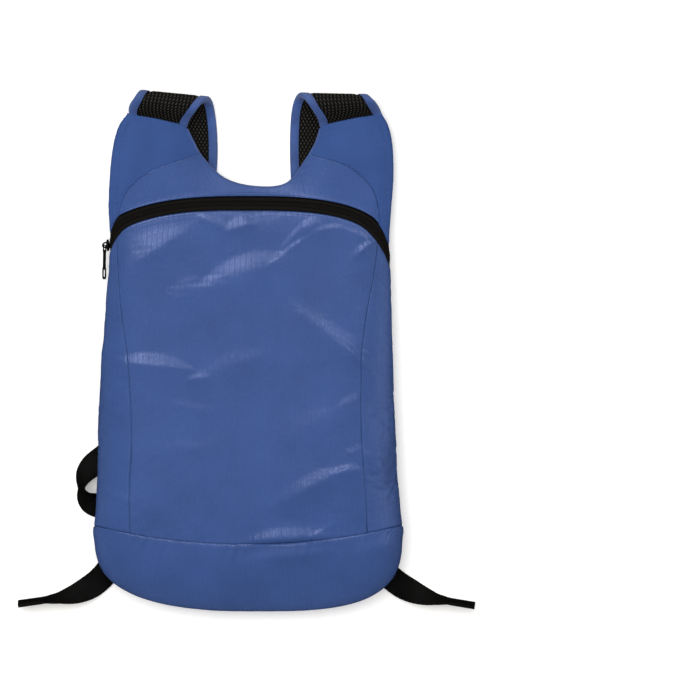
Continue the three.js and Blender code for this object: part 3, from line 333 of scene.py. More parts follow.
def run_lengths(points):
    """Distance along a line of points, from its start to each of them."""
    return np.concatenate([[0], np.cumsum(np.linalg.norm(np.diff(points, axis=0), axis=1))])


def read_at(places, knots, rows):
    """Rows of numbers read at places between knots, column by column."""
    return np.stack([np.interp(places, knots, column) for column in rows.T], -1)


def resample(points, places):
    """Points of a line at given distances along it."""
    return read_at(places, run_lengths(points), points)


def bell(distance, width):
    """One at distance zero, falling off over a width."""
    return np.exp(-((distance / width) ** 2))


def wave(at, seed, short, long):
    """Seeded sum of sines with wavelengths between short and long, about one high."""
    count = 7
    draw = np.random.default_rng(seed)
    total = np.zeros_like(at)
    for length, phase in zip(draw.uniform(short, long, count), draw.uniform(0, 2 * math.pi, count)):
        total += np.sin(at * 2 * math.pi / length + phase)
    return total / math.sqrt(count)


def crumple(points, seed, short, long):
    """Seeded unevenness in space, about one high, with wavelengths between short and long."""
    count = 22
    draw = np.random.default_rng(seed)
    total = np.zeros(points.shape[:-1])
    for _ in range(count):
        heading = draw.normal(size=3)
        heading *= 2 * math.pi / draw.uniform(short, long) / np.linalg.norm(heading)
        total += np.sin(points @ heading + draw.uniform(0, 2 * math.pi))
    return total / math.sqrt(count)


# Skin of the bag
def half_width(side, y):
    return look_up(SIDES, side, y)


def depth(key, y):
    return look_up(DEPTHS, key, y)


def outline_points():
    """Plan outline, from the left shoulder corner round the bottom to the right one."""
    halves = {}
    for side in SIDES_OF_BAG:
        y = np.linspace(TOP_Y, WIDE_Y, 160)
        flank = np.stack([SIGN[side] * half_width(side, y), y], -1)
        angle = math.pi / 2 * np.linspace(0, 1, 90)[1:] ** 1.6
        across = half_width(side, WIDE_Y) * np.maximum(np.cos(angle), 0) ** (2 / CORNER_POWER[side])
        down = BOTTOM_DEPTH * np.sin(angle) ** (2 / CORNER_POWER["down"])
        halves[side] = np.vstack([flank, np.stack([SIGN[side] * across, WIDE_Y - down], -1)])
    line = np.vstack([halves["left"], halves["right"][-2::-1]])
    return resample(line, np.linspace(0, run_lengths(line)[-1], 640))


OUTLINE = outline_points()
NECK_LINE = spline(NECKLINE, np.linspace(0, 1, 161))
SEWN_LINE = np.vstack([OUTLINE[:1], NECK_LINE, OUTLINE[-1:]])


def nearest(line, x, y):
    """Distance from each point to an open line, and the nearest point of the line."""
    start, run = line[:-1], np.diff(line, axis=0)
    length = (run * run).sum(-1)
    places = np.stack([np.ravel(x), np.ravel(y)], -1)
    distances, found = [], []
    for part in np.array_split(places, len(places) // 3000 + 1):
        share = np.clip(((part[:, None] - start) * run).sum(-1) / length, 0, 1)
        near = start + run * share[..., None]
        distance = np.linalg.norm(part[:, None] - near, axis=-1)
        best = distance.argmin(1)
        row = np.arange(len(part))
        distances.append(distance[row, best])
        found.append(near[row, best])
    near = np.concatenate(found)
    shape = np.shape(x)
    return np.concatenate(distances).reshape(shape), near[:, 0].reshape(shape), near[:, 1].reshape(shape)


def back_height(x, y):
    across = ease(np.abs(x), REST_PATCH["half"], REST_PATCH["half"] + REST_PATCH["ease_across"])
    along = ease(y, REST_PATCH["top"], REST_PATCH["top"] + REST_PATCH["ease_along"])
    return STRAP_ROOM * np.maximum(across, along) + NECK_RISE["height"] * ease(y, NECK_RISE["from"], TOP_Y)


def positive(value, soft):
    """Positive part of a value, rounded over a soft distance."""
    return (value + np.sqrt(value * value + soft * soft)) / 2


def fold_height(x, y):
    """Folds with an even flank above the ridge and a slow fall below it."""
    total = np.zeros_like(x)
    for row in zip(*FOLDS.values()):
        middle_x, middle_y, turn, length, flank, fall, upper, ridge, height = row
        cos, sin = math.cos(math.radians(turn)), math.sin(math.radians(turn))
        along = np.abs((x - middle_x) * cos + (y - middle_y) * sin) / length
        across = (y - middle_y) * cos - (x - middle_x) * sin
        reach = flank * (1 - ease(along, *FOLD_ENDS["narrows"]))
        below = positive(-across, ridge)
        section = (positive(reach - across, upper) - below) / flank * np.exp(-below / fall)
        total += height * np.clip((FOLD_ENDS["gone"] - along) / FOLD_ENDS["fade"], 0, 1) * section
    return total


def shoulder_rise(x, y):
    """Lift of the shoulders, which start in a crease along the yoke seams and climb towards the straps."""
    seams = np.vstack([YOKE_SEAMS["left"][::-1], YOKE_SEAMS["right"]])
    above = positive(y - np.interp(x, seams[:, 0], seams[:, 1]), SHOULDER_RISE["crease"])
    return SHOULDER_RISE["height"] * (1 - np.exp(-above / SHOULDER_RISE["reach"]))


def smooth_min(a, b, reach):
    blend = np.clip((reach - np.abs(a - b)) / reach, 0, 1)
    return np.minimum(a, b) - blend * blend * reach / 4


def front_height(x, y, inset=0.0):
    """Height of the front skin, or of the surface that lies inset inside it."""
    crown = depth("crown", y)
    outer, _, outer_y = nearest(OUTLINE, x, y)
    sewn, sewn_x, sewn_y = nearest(SEWN_LINE, x, y)
    limit = np.where(x < 0, half_width("left", y), half_width("right", y))
    inside = np.where((y > WIDE_Y) & (np.abs(x) > limit), -outer, outer)
    climb = np.clip((inside - inset) / depth("roll", outer_y), 0, 1)
    edge = depth("edge", outer_y)
    rolled = edge + (crown - inset - edge) * np.sqrt(1 - (1 - climb) ** 2)
    wedge = np.clip(sewn / SEWN_EDGE["roll"], 0, 1)
    seam = back_height(sewn_x, sewn_y) + SEWN_EDGE["height"]
    sloped = seam + (crown - seam) * wedge * (2 - wedge) - inset
    slack = ease(outer, *FOLD_CALM["outline"]) * ease(sewn, *FOLD_CALM["sewn"])
    neck = nearest(NECK_LINE, x, y)[0]
    free = ease(outer, *SHOULDER_RISE["from_outline"]) * ease(neck, *SHOULDER_RISE["from_neck"])
    raised = free * shoulder_rise(x, y)
    return smooth_min(rolled, sloped, SEWN_EDGE["blend"]) + slack * fold_height(x, y) + raised


def front_point(x, y, inset=0.0):
    return np.stack([x, y, front_height(x, y, inset)], -1)


def tuck_point(edge_x, edge_y, inward_x, inward_y, turn, inset=0.0):
    """Skin that rolls from the widest line, at turn 0, round to the back seam, at turn -90 degrees."""
    tuck = depth("tuck", edge_y)
    edge = depth("edge", edge_y)
    seam = back_height(edge_x + inward_x * tuck, edge_y + inward_y * tuck)
    reach = inset + (tuck - inset) * (1 - np.cos(turn))
    z = edge + (edge - seam - inset) * np.sin(turn)
    return np.stack([edge_x + inward_x * reach, edge_y + inward_y * reach, z], -1)


def flank_x(side, y, turn, inset=0.0):
    climb = depth("roll", y) * (1 - np.cos(np.maximum(turn, 0)))
    return SIGN[side] * (half_width(side, y) - inset - climb)


def flank_point(side, y, turn, inset=0.0):
    """Skin on a level section of a flank, from the crown at a quarter turn to the back seam at minus one."""
    front = front_point(flank_x(side, y, turn, inset), y, inset)
    under = tuck_point(SIGN[side] * half_width(side, y), y, -SIGN[side], 0.0, np.minimum(turn, 0), inset)
    return np.where((turn >= 0)[..., None], front, under)


def zip_edge(x, offset):
    """Level of a line along the zip, the offset being square to the zip."""
    half, drop, power = (np.where(x < 0, *ZIP_ENDS[key]) for key in ("half", "drop", "power"))
    share = np.abs(x / half)
    arch = ZIP["top"] - ZIP["sag"] * share ** 3 - drop * share ** power
    slope = (3 * ZIP["sag"] * share ** 2 + power * drop * share ** (power - 1)) / half
    return arch + offset * np.minimum(np.hypot(1, slope), ZIP["widest"])


def bottom_seam(x):
    return BOTTOM_SEAM["middle"] + BOTTOM_SEAM["rise"] * (x / BOTTOM_SEAM["half"]) ** 2


def zip_level(side, turn, offset):
    """Level at which a line offset above the middle of the zip crosses a flank."""
    y = np.full(np.shape(turn), ZIP["top"])
    for _ in range(ROUNDS):
        y = zip_edge(flank_x(side, y, turn), offset)
    return y + ZIP["wrap"] * np.minimum(turn, 0) / (math.pi / 2)


def zip_line(offset, inset):
    """Line along the zip, from the left back seam across the front to the right back seam."""
    flank_steps, middle_steps = 44, 100
    turns = np.linspace(-math.pi / 2, math.pi / 2, 2 * flank_steps + 1)
    flanks, ends = {}, []
    for side in SIDES_OF_BAG:
        flanks[side] = flank_point(side, zip_level(side, turns, offset), turns, inset)
        ends.append(flanks[side][-1, 0])
    x = np.linspace(*ends, middle_steps + 1)[1:-1]
    outer = np.linspace(ends[0] - inset, ends[1] + inset, middle_steps + 1)[1:-1]
    middle = front_point(x, zip_edge(outer, offset), inset)
    return np.vstack([flanks["left"], middle, flanks["right"][::-1]])


def outline_share(side, y):
    """Share of the outline at which one flank comes down to a level."""
    count = len(OUTLINE) - 1
    order = np.arange(count + 1) if side == "left" else np.arange(count, -1, -1)
    low = int(np.argmax(OUTLINE[order, 1] <= y))
    start, end = OUTLINE[order[low - 1], 1], OUTLINE[order[low], 1]
    return lerp(order[low - 1], order[low], (y - start) / (end - start)) / count


def line_at(line, share):
    """Point and inward normal of a plan line at shares of its length."""
    lengths = run_lengths(line)
    tangent = unit(np.gradient(line, axis=0))
    place = np.asarray(share) * lengths[-1]
    x, y = np.moveaxis(read_at(place, lengths, line), -1, 0)
    heading_x, heading_y = np.moveaxis(read_at(place, lengths, tangent), -1, 0)
    return x, y, -heading_y, heading_x


def neck_inset(share, inset):
    x, y, inward_x, inward_y = line_at(NECK_LINE, share)
    return x - inward_x * inset, y - inward_y * inset


# Panels as grids of points
def front_seam(side, y):
    return SIGN[side] * look_up(FRONT_SEAMS, side, y)


def front_panel_grid():
    u, v = np.meshgrid(np.linspace(0, 1, 190), np.linspace(0, 1, 240))
    top_x = lerp(front_seam("left", TOP_Y), front_seam("right", TOP_Y), u)
    seam_x = lerp(front_seam("left", WIDE_Y), front_seam("right", WIDE_Y), u)
    y = lerp(zip_edge(top_x, -ZIP["band"] / 2 - GAP / 2), bottom_seam(seam_x) + SEAM_GAP, v)
    return front_point(lerp(front_seam("left", y) + SEAM_GAP, front_seam("right", y) - SEAM_GAP, u), y)


def side_panel_grid(side):
    parts = np.concatenate([np.linspace(1, 0, 24), np.linspace(0, -1, 18)[1:]])
    part, v = np.meshgrid(parts, np.linspace(0, 1, 150))

    def turn_at(y):
        run = half_width(side, y) - np.abs(front_seam(side, y)) - SEAM_GAP
        seam_turn = np.arccos(np.clip(1 - run / depth("roll", y), -1, 1))
        return np.where(part > 0, part * seam_turn, part * math.pi / 2)

    top = np.full(part.shape, ZIP["top"] - 2 * ZIP["sag"])
    bottom = np.full(part.shape, bottom_seam(half_width(side, WIDE_Y)))
    for _ in range(ROUNDS):
        top = zip_level(side, turn_at(top), -ZIP["band"] / 2 - GAP)
        bottom = bottom_seam(flank_x(side, bottom, turn_at(bottom))) + SEAM_GAP
    y = lerp(top, bottom, v)
    return flank_point(side, y, turn_at(y))


def bottom_panel_grid():
    parts = np.concatenate([np.linspace(-1, 0, 16), np.linspace(0, 1, 34)[1:]])
    u, part = np.meshgrid(np.linspace(0, 1, 210), parts)
    ends = [outline_share(side, bottom_seam(half_width(side, WIDE_Y)) - SEAM_GAP) for side in SIDES_OF_BAG]
    edge_x, edge_y, inward_x, inward_y = line_at(OUTLINE, lerp(*ends, u))
    under = tuck_point(edge_x, edge_y, inward_x, inward_y, np.minimum(part, 0) * math.pi / 2)
    reach = BOTTOM_SEAM["half"] - 2
    seam_x = lerp(-reach, reach, u)
    share = np.maximum(part, 0) ** 2
    front = front_point(lerp(edge_x, seam_x, share), lerp(edge_y, bottom_seam(seam_x) - SEAM_GAP, share))
    return np.where((part < 0)[..., None], under, front)


def yoke_panel_grid():
    runs = []
    for side in SIDES_OF_BAG:
        seam = spline(YOKE_SEAMS[side], np.linspace(0, 1, 60))
        runs.append(seam - np.array([SIGN[side] * SEAM_GAP, SEAM_GAP]))
    ends = (NECK_SHARES[side][1] for side in SIDES_OF_BAG)
    neck = np.stack(neck_inset(np.linspace(*ends, 84), NECK_TUCK), -1)
    top = np.vstack([runs[0][::-1], neck, runs[1]])
    v = np.linspace(0, 1, 30)[:, None]
    x = np.broadcast_to(top[:, 0], (len(v), len(top)))
    return front_point(x, lerp(zip_edge(x, ZIP["band"] / 2 + GAP), top[:, 1], v))


def shoulder_panel_grid(side):
    clearance = ZIP["band"] / 2 + GAP
    neck_steps, seam_steps, last_steps = 22, 56, 9
    neck_part, seam_part = (0, 3 / 12), (4 / 12, 11 / 12)
    neck = np.stack(neck_inset(np.linspace(*NECK_SHARES[side], neck_steps), NECK_TUCK), -1)
    seam = spline(YOKE_SEAMS[side], np.linspace(0, 1, seam_steps))
    seam = seam + np.array([SIGN[side] * SEAM_GAP, SEAM_GAP])
    foot = np.array([seam[-1, 0], float(zip_edge(seam[-1, 0], clearance))])
    last = lerp(seam[-1], foot, np.linspace(0, 1, last_steps)[1:, None])
    inner = np.vstack([neck, seam, last])
    shares = np.concatenate([
        np.linspace(*neck_part, neck_steps), np.linspace(*seam_part, seam_steps),
        np.linspace(seam_part[1], 1, last_steps)[1:],
    ])
    parts = np.concatenate([np.linspace(1, 0, 40), np.linspace(0, -1, 14)[1:]])
    part, share = np.meshgrid(parts, shares)
    turn = np.minimum(part, 0) * math.pi / 2
    end = zip_level(side, turn, clearance)
    y = lerp(TOP_Y - GAP, end, share)
    mixed = 1 - (1 - np.maximum(part, 0)) ** 2
    level_turn = np.zeros_like(y)
    rim = zip_edge(lerp(flank_x(side, end, level_turn), foot[0], mixed), clearance)
    bow = (rim - lerp(end, foot[1], mixed)) * share ** 6
    front = front_point(
        lerp(flank_x(side, y, level_turn), inner[:, :1], mixed), lerp(y, inner[:, 1:], mixed) + bow
    )
    grid = np.where((part < 0)[..., None], flank_point(side, y, turn), front)
    from_top = np.linalg.norm(grid - grid[:1], axis=-1)
    grid[..., 2] += SHOULDER_TOP["swell"] * bell(from_top, SHOULDER_TOP["reach"]) * ease(part, -0.2, 0.1)
    flap_end = SHOULDER_TOP["flap_end"] * ease(parts, -0.25, 0.0)
    reach = lerp(flap_end, SHOULDER_TOP["flap"], ease(parts, 0.0, 0.3))
    flap = []
    for share_out, rise in FLAP_SECTION:
        flap.append(grid[0] + np.stack([0 * reach, share_out * reach, rise + 0 * reach], -1))
    return np.concatenate([np.stack(flap), grid])


def back_panel_grid():
    shares = [outline_share(side, BACK_LOW_Y) for side in SIDES_OF_BAG]

    def seam_point(share):
        x, y, inward_x, inward_y = line_at(OUTLINE, share)
        tuck = depth("tuck", y) + 2 * GAP
        return np.stack([x + inward_x * tuck, y + inward_y * tuck], -1)

    us, vs = np.linspace(0, 1, 130), np.linspace(0, 1, 190)
    corners = [seam_point(0.0) - (0, 2 * GAP), seam_point(1.0) - (0, 2 * GAP)]
    neck = np.stack(neck_inset(np.linspace(0.01, 0.99, 60), NECK_TUCK), -1)
    top_line = np.vstack([corners[0], neck, corners[1]])
    top = resample(top_line, us * run_lengths(top_line)[-1])
    low = seam_point(lerp(*shares, us))
    left = seam_point(lerp(shares[0], 0.0, vs))
    right = seam_point(lerp(shares[1], 1.0, vs))
    left[-1], right[-1] = corners
    u, v = us[None, :, None], vs[:, None, None]
    across = lerp(left[:, None], right[:, None], u)
    along = lerp(low[None], top[None], v)
    bilinear = lerp(lerp(low[0], low[-1], u), lerp(corners[0], corners[1], u), v)
    plan = across + along - bilinear
    x, y = plan[..., 0], plan[..., 1]
    return np.stack([x, y, back_height(x, y)], -1)


def grid_normals(grid):
    """Unit normals of a grid of points, away from the middle of the bag."""
    normals = unit(np.cross(np.gradient(grid, axis=1), np.gradient(grid, axis=0)))
    share = BAG_MIDDLE["share"]
    level = np.full(grid.shape[:2], BAG_MIDDLE["z"])
    middle = np.stack([share * grid[..., 0], share * grid[..., 1], level], -1)
    return normals * np.sign(((grid - middle) * normals).sum())


def sew(grid, edges, seed, sizes, slack, welted):
    """Puckers, dips and stitch lines on a panel, whose four edges are seam, zip, rim or free.

    The edges are those of the first and last column and the first and last row. A welt is a sewn line beside
    the outline. Returns the moved points, flat cloth coordinates in decimetres and the distance to the
    nearest seam in millimetres.
    """
    normals = grid_normals(grid)
    across = np.pad(np.cumsum(np.linalg.norm(np.diff(grid, axis=1), axis=-1), axis=1), ((0, 0), (1, 0)))
    along = np.pad(np.cumsum(np.linalg.norm(np.diff(grid, axis=0), axis=-1), axis=0), ((1, 0), (0, 0)))
    reaches = (across, across[:, -1:] - across, along, along[-1:] - along)
    patches = SLACK["patch_share"] * crumple(grid, seed + 3, *SLACK["patch"]) + SLACK["patch_shift"]
    patches = np.clip(patches, 0, SLACK["patch_most"])
    creases = np.abs(crumple(grid * CREASE_STRETCH, seed + 2, *SLACK["crease"])) * patches
    swell = SLACK["swell_share"] * crumple(grid, seed, *SLACK["swell"])
    swell += SLACK["ripple_share"] * crumple(grid, seed + 1, *SLACK["ripple"])
    lift = slack * sizes.crinkle / MM * (swell - SLACK["crease_share"] * creases)
    seam = np.full(grid.shape[:2], NO_SEAM)
    for number, (kind, reach) in enumerate(zip(edges, reaches)):
        if kind == "free":
            continue
        place = along if number < 2 else across
        pucker = wave(place, seed + 10 + number, *PUCKER["waves"])
        gathers = wave(place, seed + 20 + number, *PUCKER["gathers"])
        pucker *= PUCKER["even_share"] + PUCKER["gather_share"] * gathers
        near = np.exp(-reach / PUCKER["reach"]) * (1 - bell(reach, PUCKER["start"]))
        if kind == "seam":
            lift += min(slack, 1.0) * sizes.pucker / MM * pucker * near
            lift -= sizes.seam_dip / MM * bell(reach, SEAM_DIP_WIDE)
            seam = np.minimum(seam, reach)
        elif kind == "rim":
            rolled = RIM["roll"] * bell(reach - RIM["wide"], RIM["wide"])
            lift += rolled - RIM["dip"] * bell(reach, RIM["dip_wide"])
            seam = np.minimum(seam, reach)
        elif kind == "zip":
            stitched = ZIP_HEM["stitch_dip"] * bell(reach - ZIP_HEM["stitch"], ZIP_HEM["stitch_wide"])
            lift += ZIP_HEM["pucker"] * sizes.pucker / MM * pucker * near
            lift -= stitched + ZIP_HEM["edge_dip"] * bell(reach, ZIP_HEM["edge_wide"])
    if welted:
        edge = across[:, WELT["column"]:WELT["column"] + 1]
        from_welt = np.abs(edge - across - WELT["distance"])
        lift -= WELT["dip"] * bell(from_welt, WELT["wide"])
        seam = np.minimum(seam, from_welt)
    flat = np.stack([across - across[:, -1:] / 2, along], -1) / 100
    return grid + normals * lift[..., None], flat, seam


# Meshes
def grid_faces(rows, columns):
    index = np.arange(rows * columns).reshape(rows, columns)
    return np.stack([index[:-1, :-1], index[:-1, 1:], index[1:, 1:], index[1:, :-1]], -1).reshape(-1, 4)


def new_piece(name, points, faces, flat=None, values=None, domain="POINT"):
    """Smooth mesh object from points in millimetres, with cloth coordinates and values if given."""
    mesh = bpy.data.meshes.new(name)
    mesh.from_pydata((np.asarray(points) * MM).tolist(), [], [list(map(int, face)) for face in faces])
    if flat is not None:
        corner = np.zeros(len(mesh.loops), int)
        mesh.loops.foreach_get("vertex_index", corner)
        mesh.uv_layers.new(name="cloth").uv.foreach_set("vector", np.asarray(flat)[corner].ravel())
    for key, column in (values or {}).items():
        mesh.attributes.new(key, "FLOAT", domain).data.foreach_set("value", np.asarray(column, float))
    mesh.polygons.foreach_set("use_smooth", np.ones(len(mesh.polygons), bool))
    mesh.update()
    piece = bpy.data.objects.new(name, mesh)
    bpy.context.collection.objects.link(piece)
    return piece


def pick(piece):
    """Makes one piece the only selected and active object."""
    bpy.ops.object.select_all(action="DESELECT")
    piece.select_set(True)
    bpy.context.view_layer.objects.active = piece


def apply_modifier(piece, kind, **settings):
    modifier = piece.modifiers.new(kind.title(), kind)
    for key, value in settings.items():
        setattr(modifier, key, value)
    pick(piece)
    bpy.ops.object.modifier_apply(modifier=modifier.name)


def weld(piece, distance, closed):
    """Joins points closer than a distance in metres, and turns the faces of a closed piece outwards."""
    pick(piece)
    bpy.ops.object.mode_set(mode="EDIT")
    bpy.ops.mesh.select_all(action="SELECT")
    bpy.ops.mesh.remove_doubles(threshold=distance)
    if closed:
        bpy.ops.mesh.normals_make_consistent(inside=False)
    bpy.ops.object.mode_set(mode="OBJECT")


def signed_volume(points, faces):
    a, b, c, d = (points[faces[:, k]] for k in range(4))
    return (np.cross(a, b) * c).sum() + (np.cross(a, c) * d).sum()


def loft(sections):
    """Points, faces and flat coordinates of a bar through sections that all have the same closed profile."""
    count, size = sections.shape[:2]
    points = sections.reshape(-1, 3)
    index = np.arange(count * size).reshape(count, size)
    turned = np.roll(index, -1, axis=1)
    faces = np.stack([index[:-1], turned[:-1], turned[1:], index[1:]], -1).reshape(-1, 4)
    ends = [index[0][::-1].tolist(), index[-1].tolist()]
    if signed_volume(points, faces) < 0:
        faces = faces[:, ::-1]
        ends = [end[::-1] for end in ends]
    length = run_lengths(sections.mean(1))
    girth = np.linalg.norm(np.diff(sections, axis=1), axis=-1).cumsum(1)
    girth = np.pad(girth, ((0, 0), (1, 0)))
    flat = np.stack([girth, np.broadcast_to(length[:, None], girth.shape)], -1).reshape(-1, 2) / 100
    return points, [*faces.tolist(), *ends], flat


def finish_piece(piece, material, slot, *nodes, body="bag"):
    """Ties a piece to its body and the solids it stands for, and gives it its material; the slot is not used.
    """
    piece.data.materials.clear()
    piece.data.materials.append(material)
    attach(piece, body)
    if nodes:
        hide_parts(*nodes)
    return piece


def bar_faces(points, rings):
    """Faces of closed bars that each have a number of four-sided rings of points."""
    size = 4 * rings
    one = [
        (4 * r + k, 4 * r + (k + 1) % 4, 4 * r + 4 + (k + 1) % 4, 4 * r + 4 + k)
        for r in range(rings - 1) for k in range(4)
    ]
    one += [(3, 2, 1, 0), (size - 4, size - 3, size - 2, size - 1)]
    starts = np.arange(0, len(points), size)
    faces = (np.array(one)[None] + starts[:, None, None]).reshape(-1, 4)
    return faces if signed_volume(points, faces) > 0 else faces[:, ::-1]


def stitches(line, normals, pitch):
    """Points and faces of thread bars that lie in a row along a line."""
    length = THREAD["fill"] * pitch
    places = run_lengths(line)
    middles = np.arange(pitch / 2, places[-1] - length / 2, pitch)
    rings = []
    for share, swell in ((-1, 0.25), (-0.6, 1), (0.6, 1), (1, 0.25)):
        at = middles + share * length / 2
        centre = resample(line, at)
        up = unit(read_at(at, places, normals))
        ahead = unit(resample(line, at + THREAD["look"]) - resample(line, at - THREAD["look"]))
        aside = np.cross(up, ahead) * THREAD["width"] / 2 * swell
        rise = up * THREAD["height"] * swell
        rings.append(np.stack([centre + aside, centre + rise, centre - aside, centre - rise], 1))
    points = np.stack(rings, 1).reshape(-1, 3)
    return points, bar_faces(points, len(rings))


def gather(parts):
    """One set of points and faces from several."""
    points, faces, start = [], [], 0
    for some_points, some_faces in parts:
        points.append(some_points)
        faces += (np.asarray(some_faces) + start).tolist()
        start += len(some_points)
    return np.vstack(points), faces


# Materials, whose cloth coordinates are in decimetres, and the pitch of each weave across and along
DECIMETRES = 10
WEAVES = {
    "nylon": (0.0042, 0.0042), "binding": (0.009, 0.0075), "webbing": (0.011, 0.015),
    "zip_tape": (0.008, 0.01),
}


def node(tree, kind, inputs=None, **settings):
    made = tree.nodes.new("ShaderNode" + kind)
    for key, value in settings.items():
        setattr(made, key, value)
    for key, value in (inputs or {}).items():
        if isinstance(value, bpy.types.NodeSocket):
            tree.links.new(value, made.inputs[key])
        else:
            made.inputs[key].default_value = value
    return made


def math_node(tree, operation, *values):
    return node(tree, "Math", dict(enumerate(values)), operation=operation).outputs[0]


def ramp(tree, factor, *stops):
    """Colour ramp with (position, colour) stops."""
    made = node(tree, "ValToRGB", {"Fac": factor})
    band = made.color_ramp.elements
    while len(band) < len(stops):
        band.new(0.5)
    for element, (position, colour) in zip(band, stops):
        element.position = position
        element.color = (*colour[:3], 1)
    return made.outputs["Color"]


def span(tree, value, low, high, start=0.0, end=1.0):
    inputs = {"Value": value, "From Min": low, "From Max": high, "To Min": start, "To Max": end}
    return node(tree, "MapRange", inputs).outputs["Result"]


def shade(colour, factor):
    return tuple(min(1.0, channel * factor) for channel in colour[:3])


def new_material(name, **sockets):
    material = bpy.data.materials.new(name)
    material.use_nodes = True
    shader = material.node_tree.nodes["Principled BSDF"]
    for key, value in sockets.items():
        shader.inputs[key.replace("_", " ")].default_value = value
    return material, material.node_tree, shader


def two_tone(tree, shader, factor, colour, dark, light):
    """Base colour that runs from a darker to a lighter shade of one colour."""
    tones = ramp(tree, factor, (0.0, shade(colour, dark)), (1.0, shade(colour, light)))
    tree.links.new(tones, shader.inputs["Base Color"])


def bump(tree, shader, height, strength, distance):
    made = node(tree, "Bump", {"Height": height, "Strength": strength, "Distance": distance})
    tree.links.new(made.outputs["Normal"], shader.inputs["Normal"])


def cloth_axes(tree):
    """The two flat cloth coordinates of a piece, in decimetres."""
    split = node(tree, "SeparateXYZ", {"Vector": node(tree, "UVMap", uv_map="cloth").outputs["UV"]})
    return split.outputs["X"], split.outputs["Y"]


def noise(tree, scale, detail):
    place = node(tree, "TexCoord").outputs["Object"]
    return node(tree, "TexNoise", {"Vector": place, "Scale": scale, "Detail": detail}).outputs["Fac"]


def threads(tree, axis, pitch, width):
    """One at evenly spaced lines across a flat axis and zero between them; pitch in decimetres."""
    from_line = math_node(tree, "PINGPONG", math_node(tree, "MULTIPLY", axis, 1 / pitch), 0.5)
    return span(tree, from_line, width, 0.0)


def ribs(tree, axis, pitch):
    """Sine along a flat axis, from zero to one; pitch in decimetres."""
    turned = math_node(tree, "SINE", math_node(tree, "MULTIPLY", axis, 2 * math.pi / pitch))
    return math_node(tree, "MULTIPLY_ADD", turned, 0.5, 0.5)


def weave_ribs(tree, cloth, u, v):
    """Ribs of one weave across and along the cloth."""
    return [ribs(tree, axis, pitch) for axis, pitch in zip((u, v), WEAVES[cloth])]


def nylon_material(name, colours, sizes, gloss, haze):
    """Thin ripstop nylon: fine plain weave, a raised grid of heavier threads, a gloss striped by them."""
    material, tree, shader = new_material(
        name, Specular_Tint=(0.54, 0.6, 1.0, 1.0),
        Coat_Weight=haze, Coat_Roughness=0.46, Coat_IOR=1.5,
    )
    u, v = cloth_axes(tree)
    pitch = sizes.ripstop * DECIMETRES
    pairs = math_node(tree, "MULTIPLY", threads(tree, u, pitch / 2, 0.2), 0.6)
    lines = math_node(
        tree, "MAXIMUM", math_node(tree, "MAXIMUM", threads(tree, u, pitch, 0.14), pairs),
        math_node(tree, "MULTIPLY", threads(tree, v, pitch, 0.14), 0.5),
    )
    stripes = math_node(tree, "ADD", threads(tree, u, pitch, 0.3), threads(tree, u, pitch / 2, 0.4))
    level = span(tree, stripes, 0.0, 2.0, 1.35 * gloss, 0.5 * gloss)
    tree.links.new(level, shader.inputs["Specular IOR Level"])
    weave = math_node(tree, "MULTIPLY", *weave_ribs(tree, "nylon", u, v))
    cloud = noise(tree, 28.0, 4.0)
    tint = math_node(tree, "MULTIPLY_ADD", lines, 0.3, span(tree, cloud, 0.3, 0.7, 0.15, 0.65))
    # Painted shade: the cloth is drawn darker within a little of a seam, where its crease lies
    seam = node(tree, "Attribute", attribute_name="seam").outputs["Fac"]
    seam_shade = math_node(tree, "MULTIPLY", tint, span(tree, seam, 0.0, 0.8, 0.85, 1.0))
    two_tone(tree, shader, seam_shade, colours.nylon, 0.86, 1.13)
    roughness = span(tree, noise(tree, 60.0, 3.0), 0.3, 0.7, 0.25, 0.31)
    tree.links.new(roughness, shader.inputs["Roughness"])
    height = math_node(tree, "MULTIPLY_ADD", weave, 0.35, lines)
    bump(tree, shader, height, 0.42, 0.00018)
    return material


def binding_material(colours):
    """Folded woven tape: fine ribs across its length."""
    material, tree, shader = new_material(
        "binding tape", Roughness=0.62, Specular_IOR_Level=0.4, Sheen_Weight=0.12, Sheen_Roughness=0.5,
    )
    u, v = cloth_axes(tree)
    weave = math_node(tree, "MULTIPLY", *weave_ribs(tree, "binding", u, v))
    cloud = span(tree, noise(tree, 70.0, 3.0), 0.3, 0.7, 0.0, 0.65)
    tone = math_node(tree, "MULTIPLY_ADD", weave, 0.35, cloud)
    two_tone(tree, shader, tone, colours.binding, 0.75, 1.25)
    bump(tree, shader, weave, 0.5, 0.00025)
    return material


def mesh_material(colours):
    """Knitted air mesh: near-black threads round dark holes, with a painted highlight on the threads that run
    along the strap.
    """
    material, tree, shader = new_material("air mesh", Roughness=0.75, Specular_IOR_Level=0.1)
    pale = node(tree, "Attribute", attribute_name="pale").outputs["Fac"]
    fibre = noise(tree, 900.0, 2.0)
    tone = math_node(tree, "MULTIPLY", pale, span(tree, fibre, 0.3, 0.7, 0.55, 1.0))
    # The last stop is the painted highlight on the lit threads; the others are the dark threads and the
    # padding
    stops = ((0.0, colours.mesh_gap), (KNIT["dark"], shade(colours.mesh_gap, 2.0)), (1.0, colours.mesh))
    tree.links.new(ramp(tree, tone, *stops), shader.inputs["Base Color"])
    bump(tree, shader, fibre, 0.4, 0.0002)
    return material


def webbing_material(colours):
    """Tight black webbing: ribs across, fine warp threads along."""
    material, tree, shader = new_material("webbing", Roughness=0.62, Specular_IOR_Level=0.08)
    u, v = cloth_axes(tree)
    warp, weft = weave_ribs(tree, "webbing", u, v)
    weave = math_node(tree, "MULTIPLY_ADD", warp, 0.5, math_node(tree, "MULTIPLY", weft, 0.5))
    cloud = span(tree, noise(tree, 80.0, 3.0), 0.3, 0.7, 0.0, 0.4)
    tone = math_node(tree, "MULTIPLY_ADD", weave, 0.6, cloud)
    two_tone(tree, shader, tone, colours.webbing, 0.55, 1.6)
    bump(tree, shader, weave, 0.5, 0.0003)
    return material


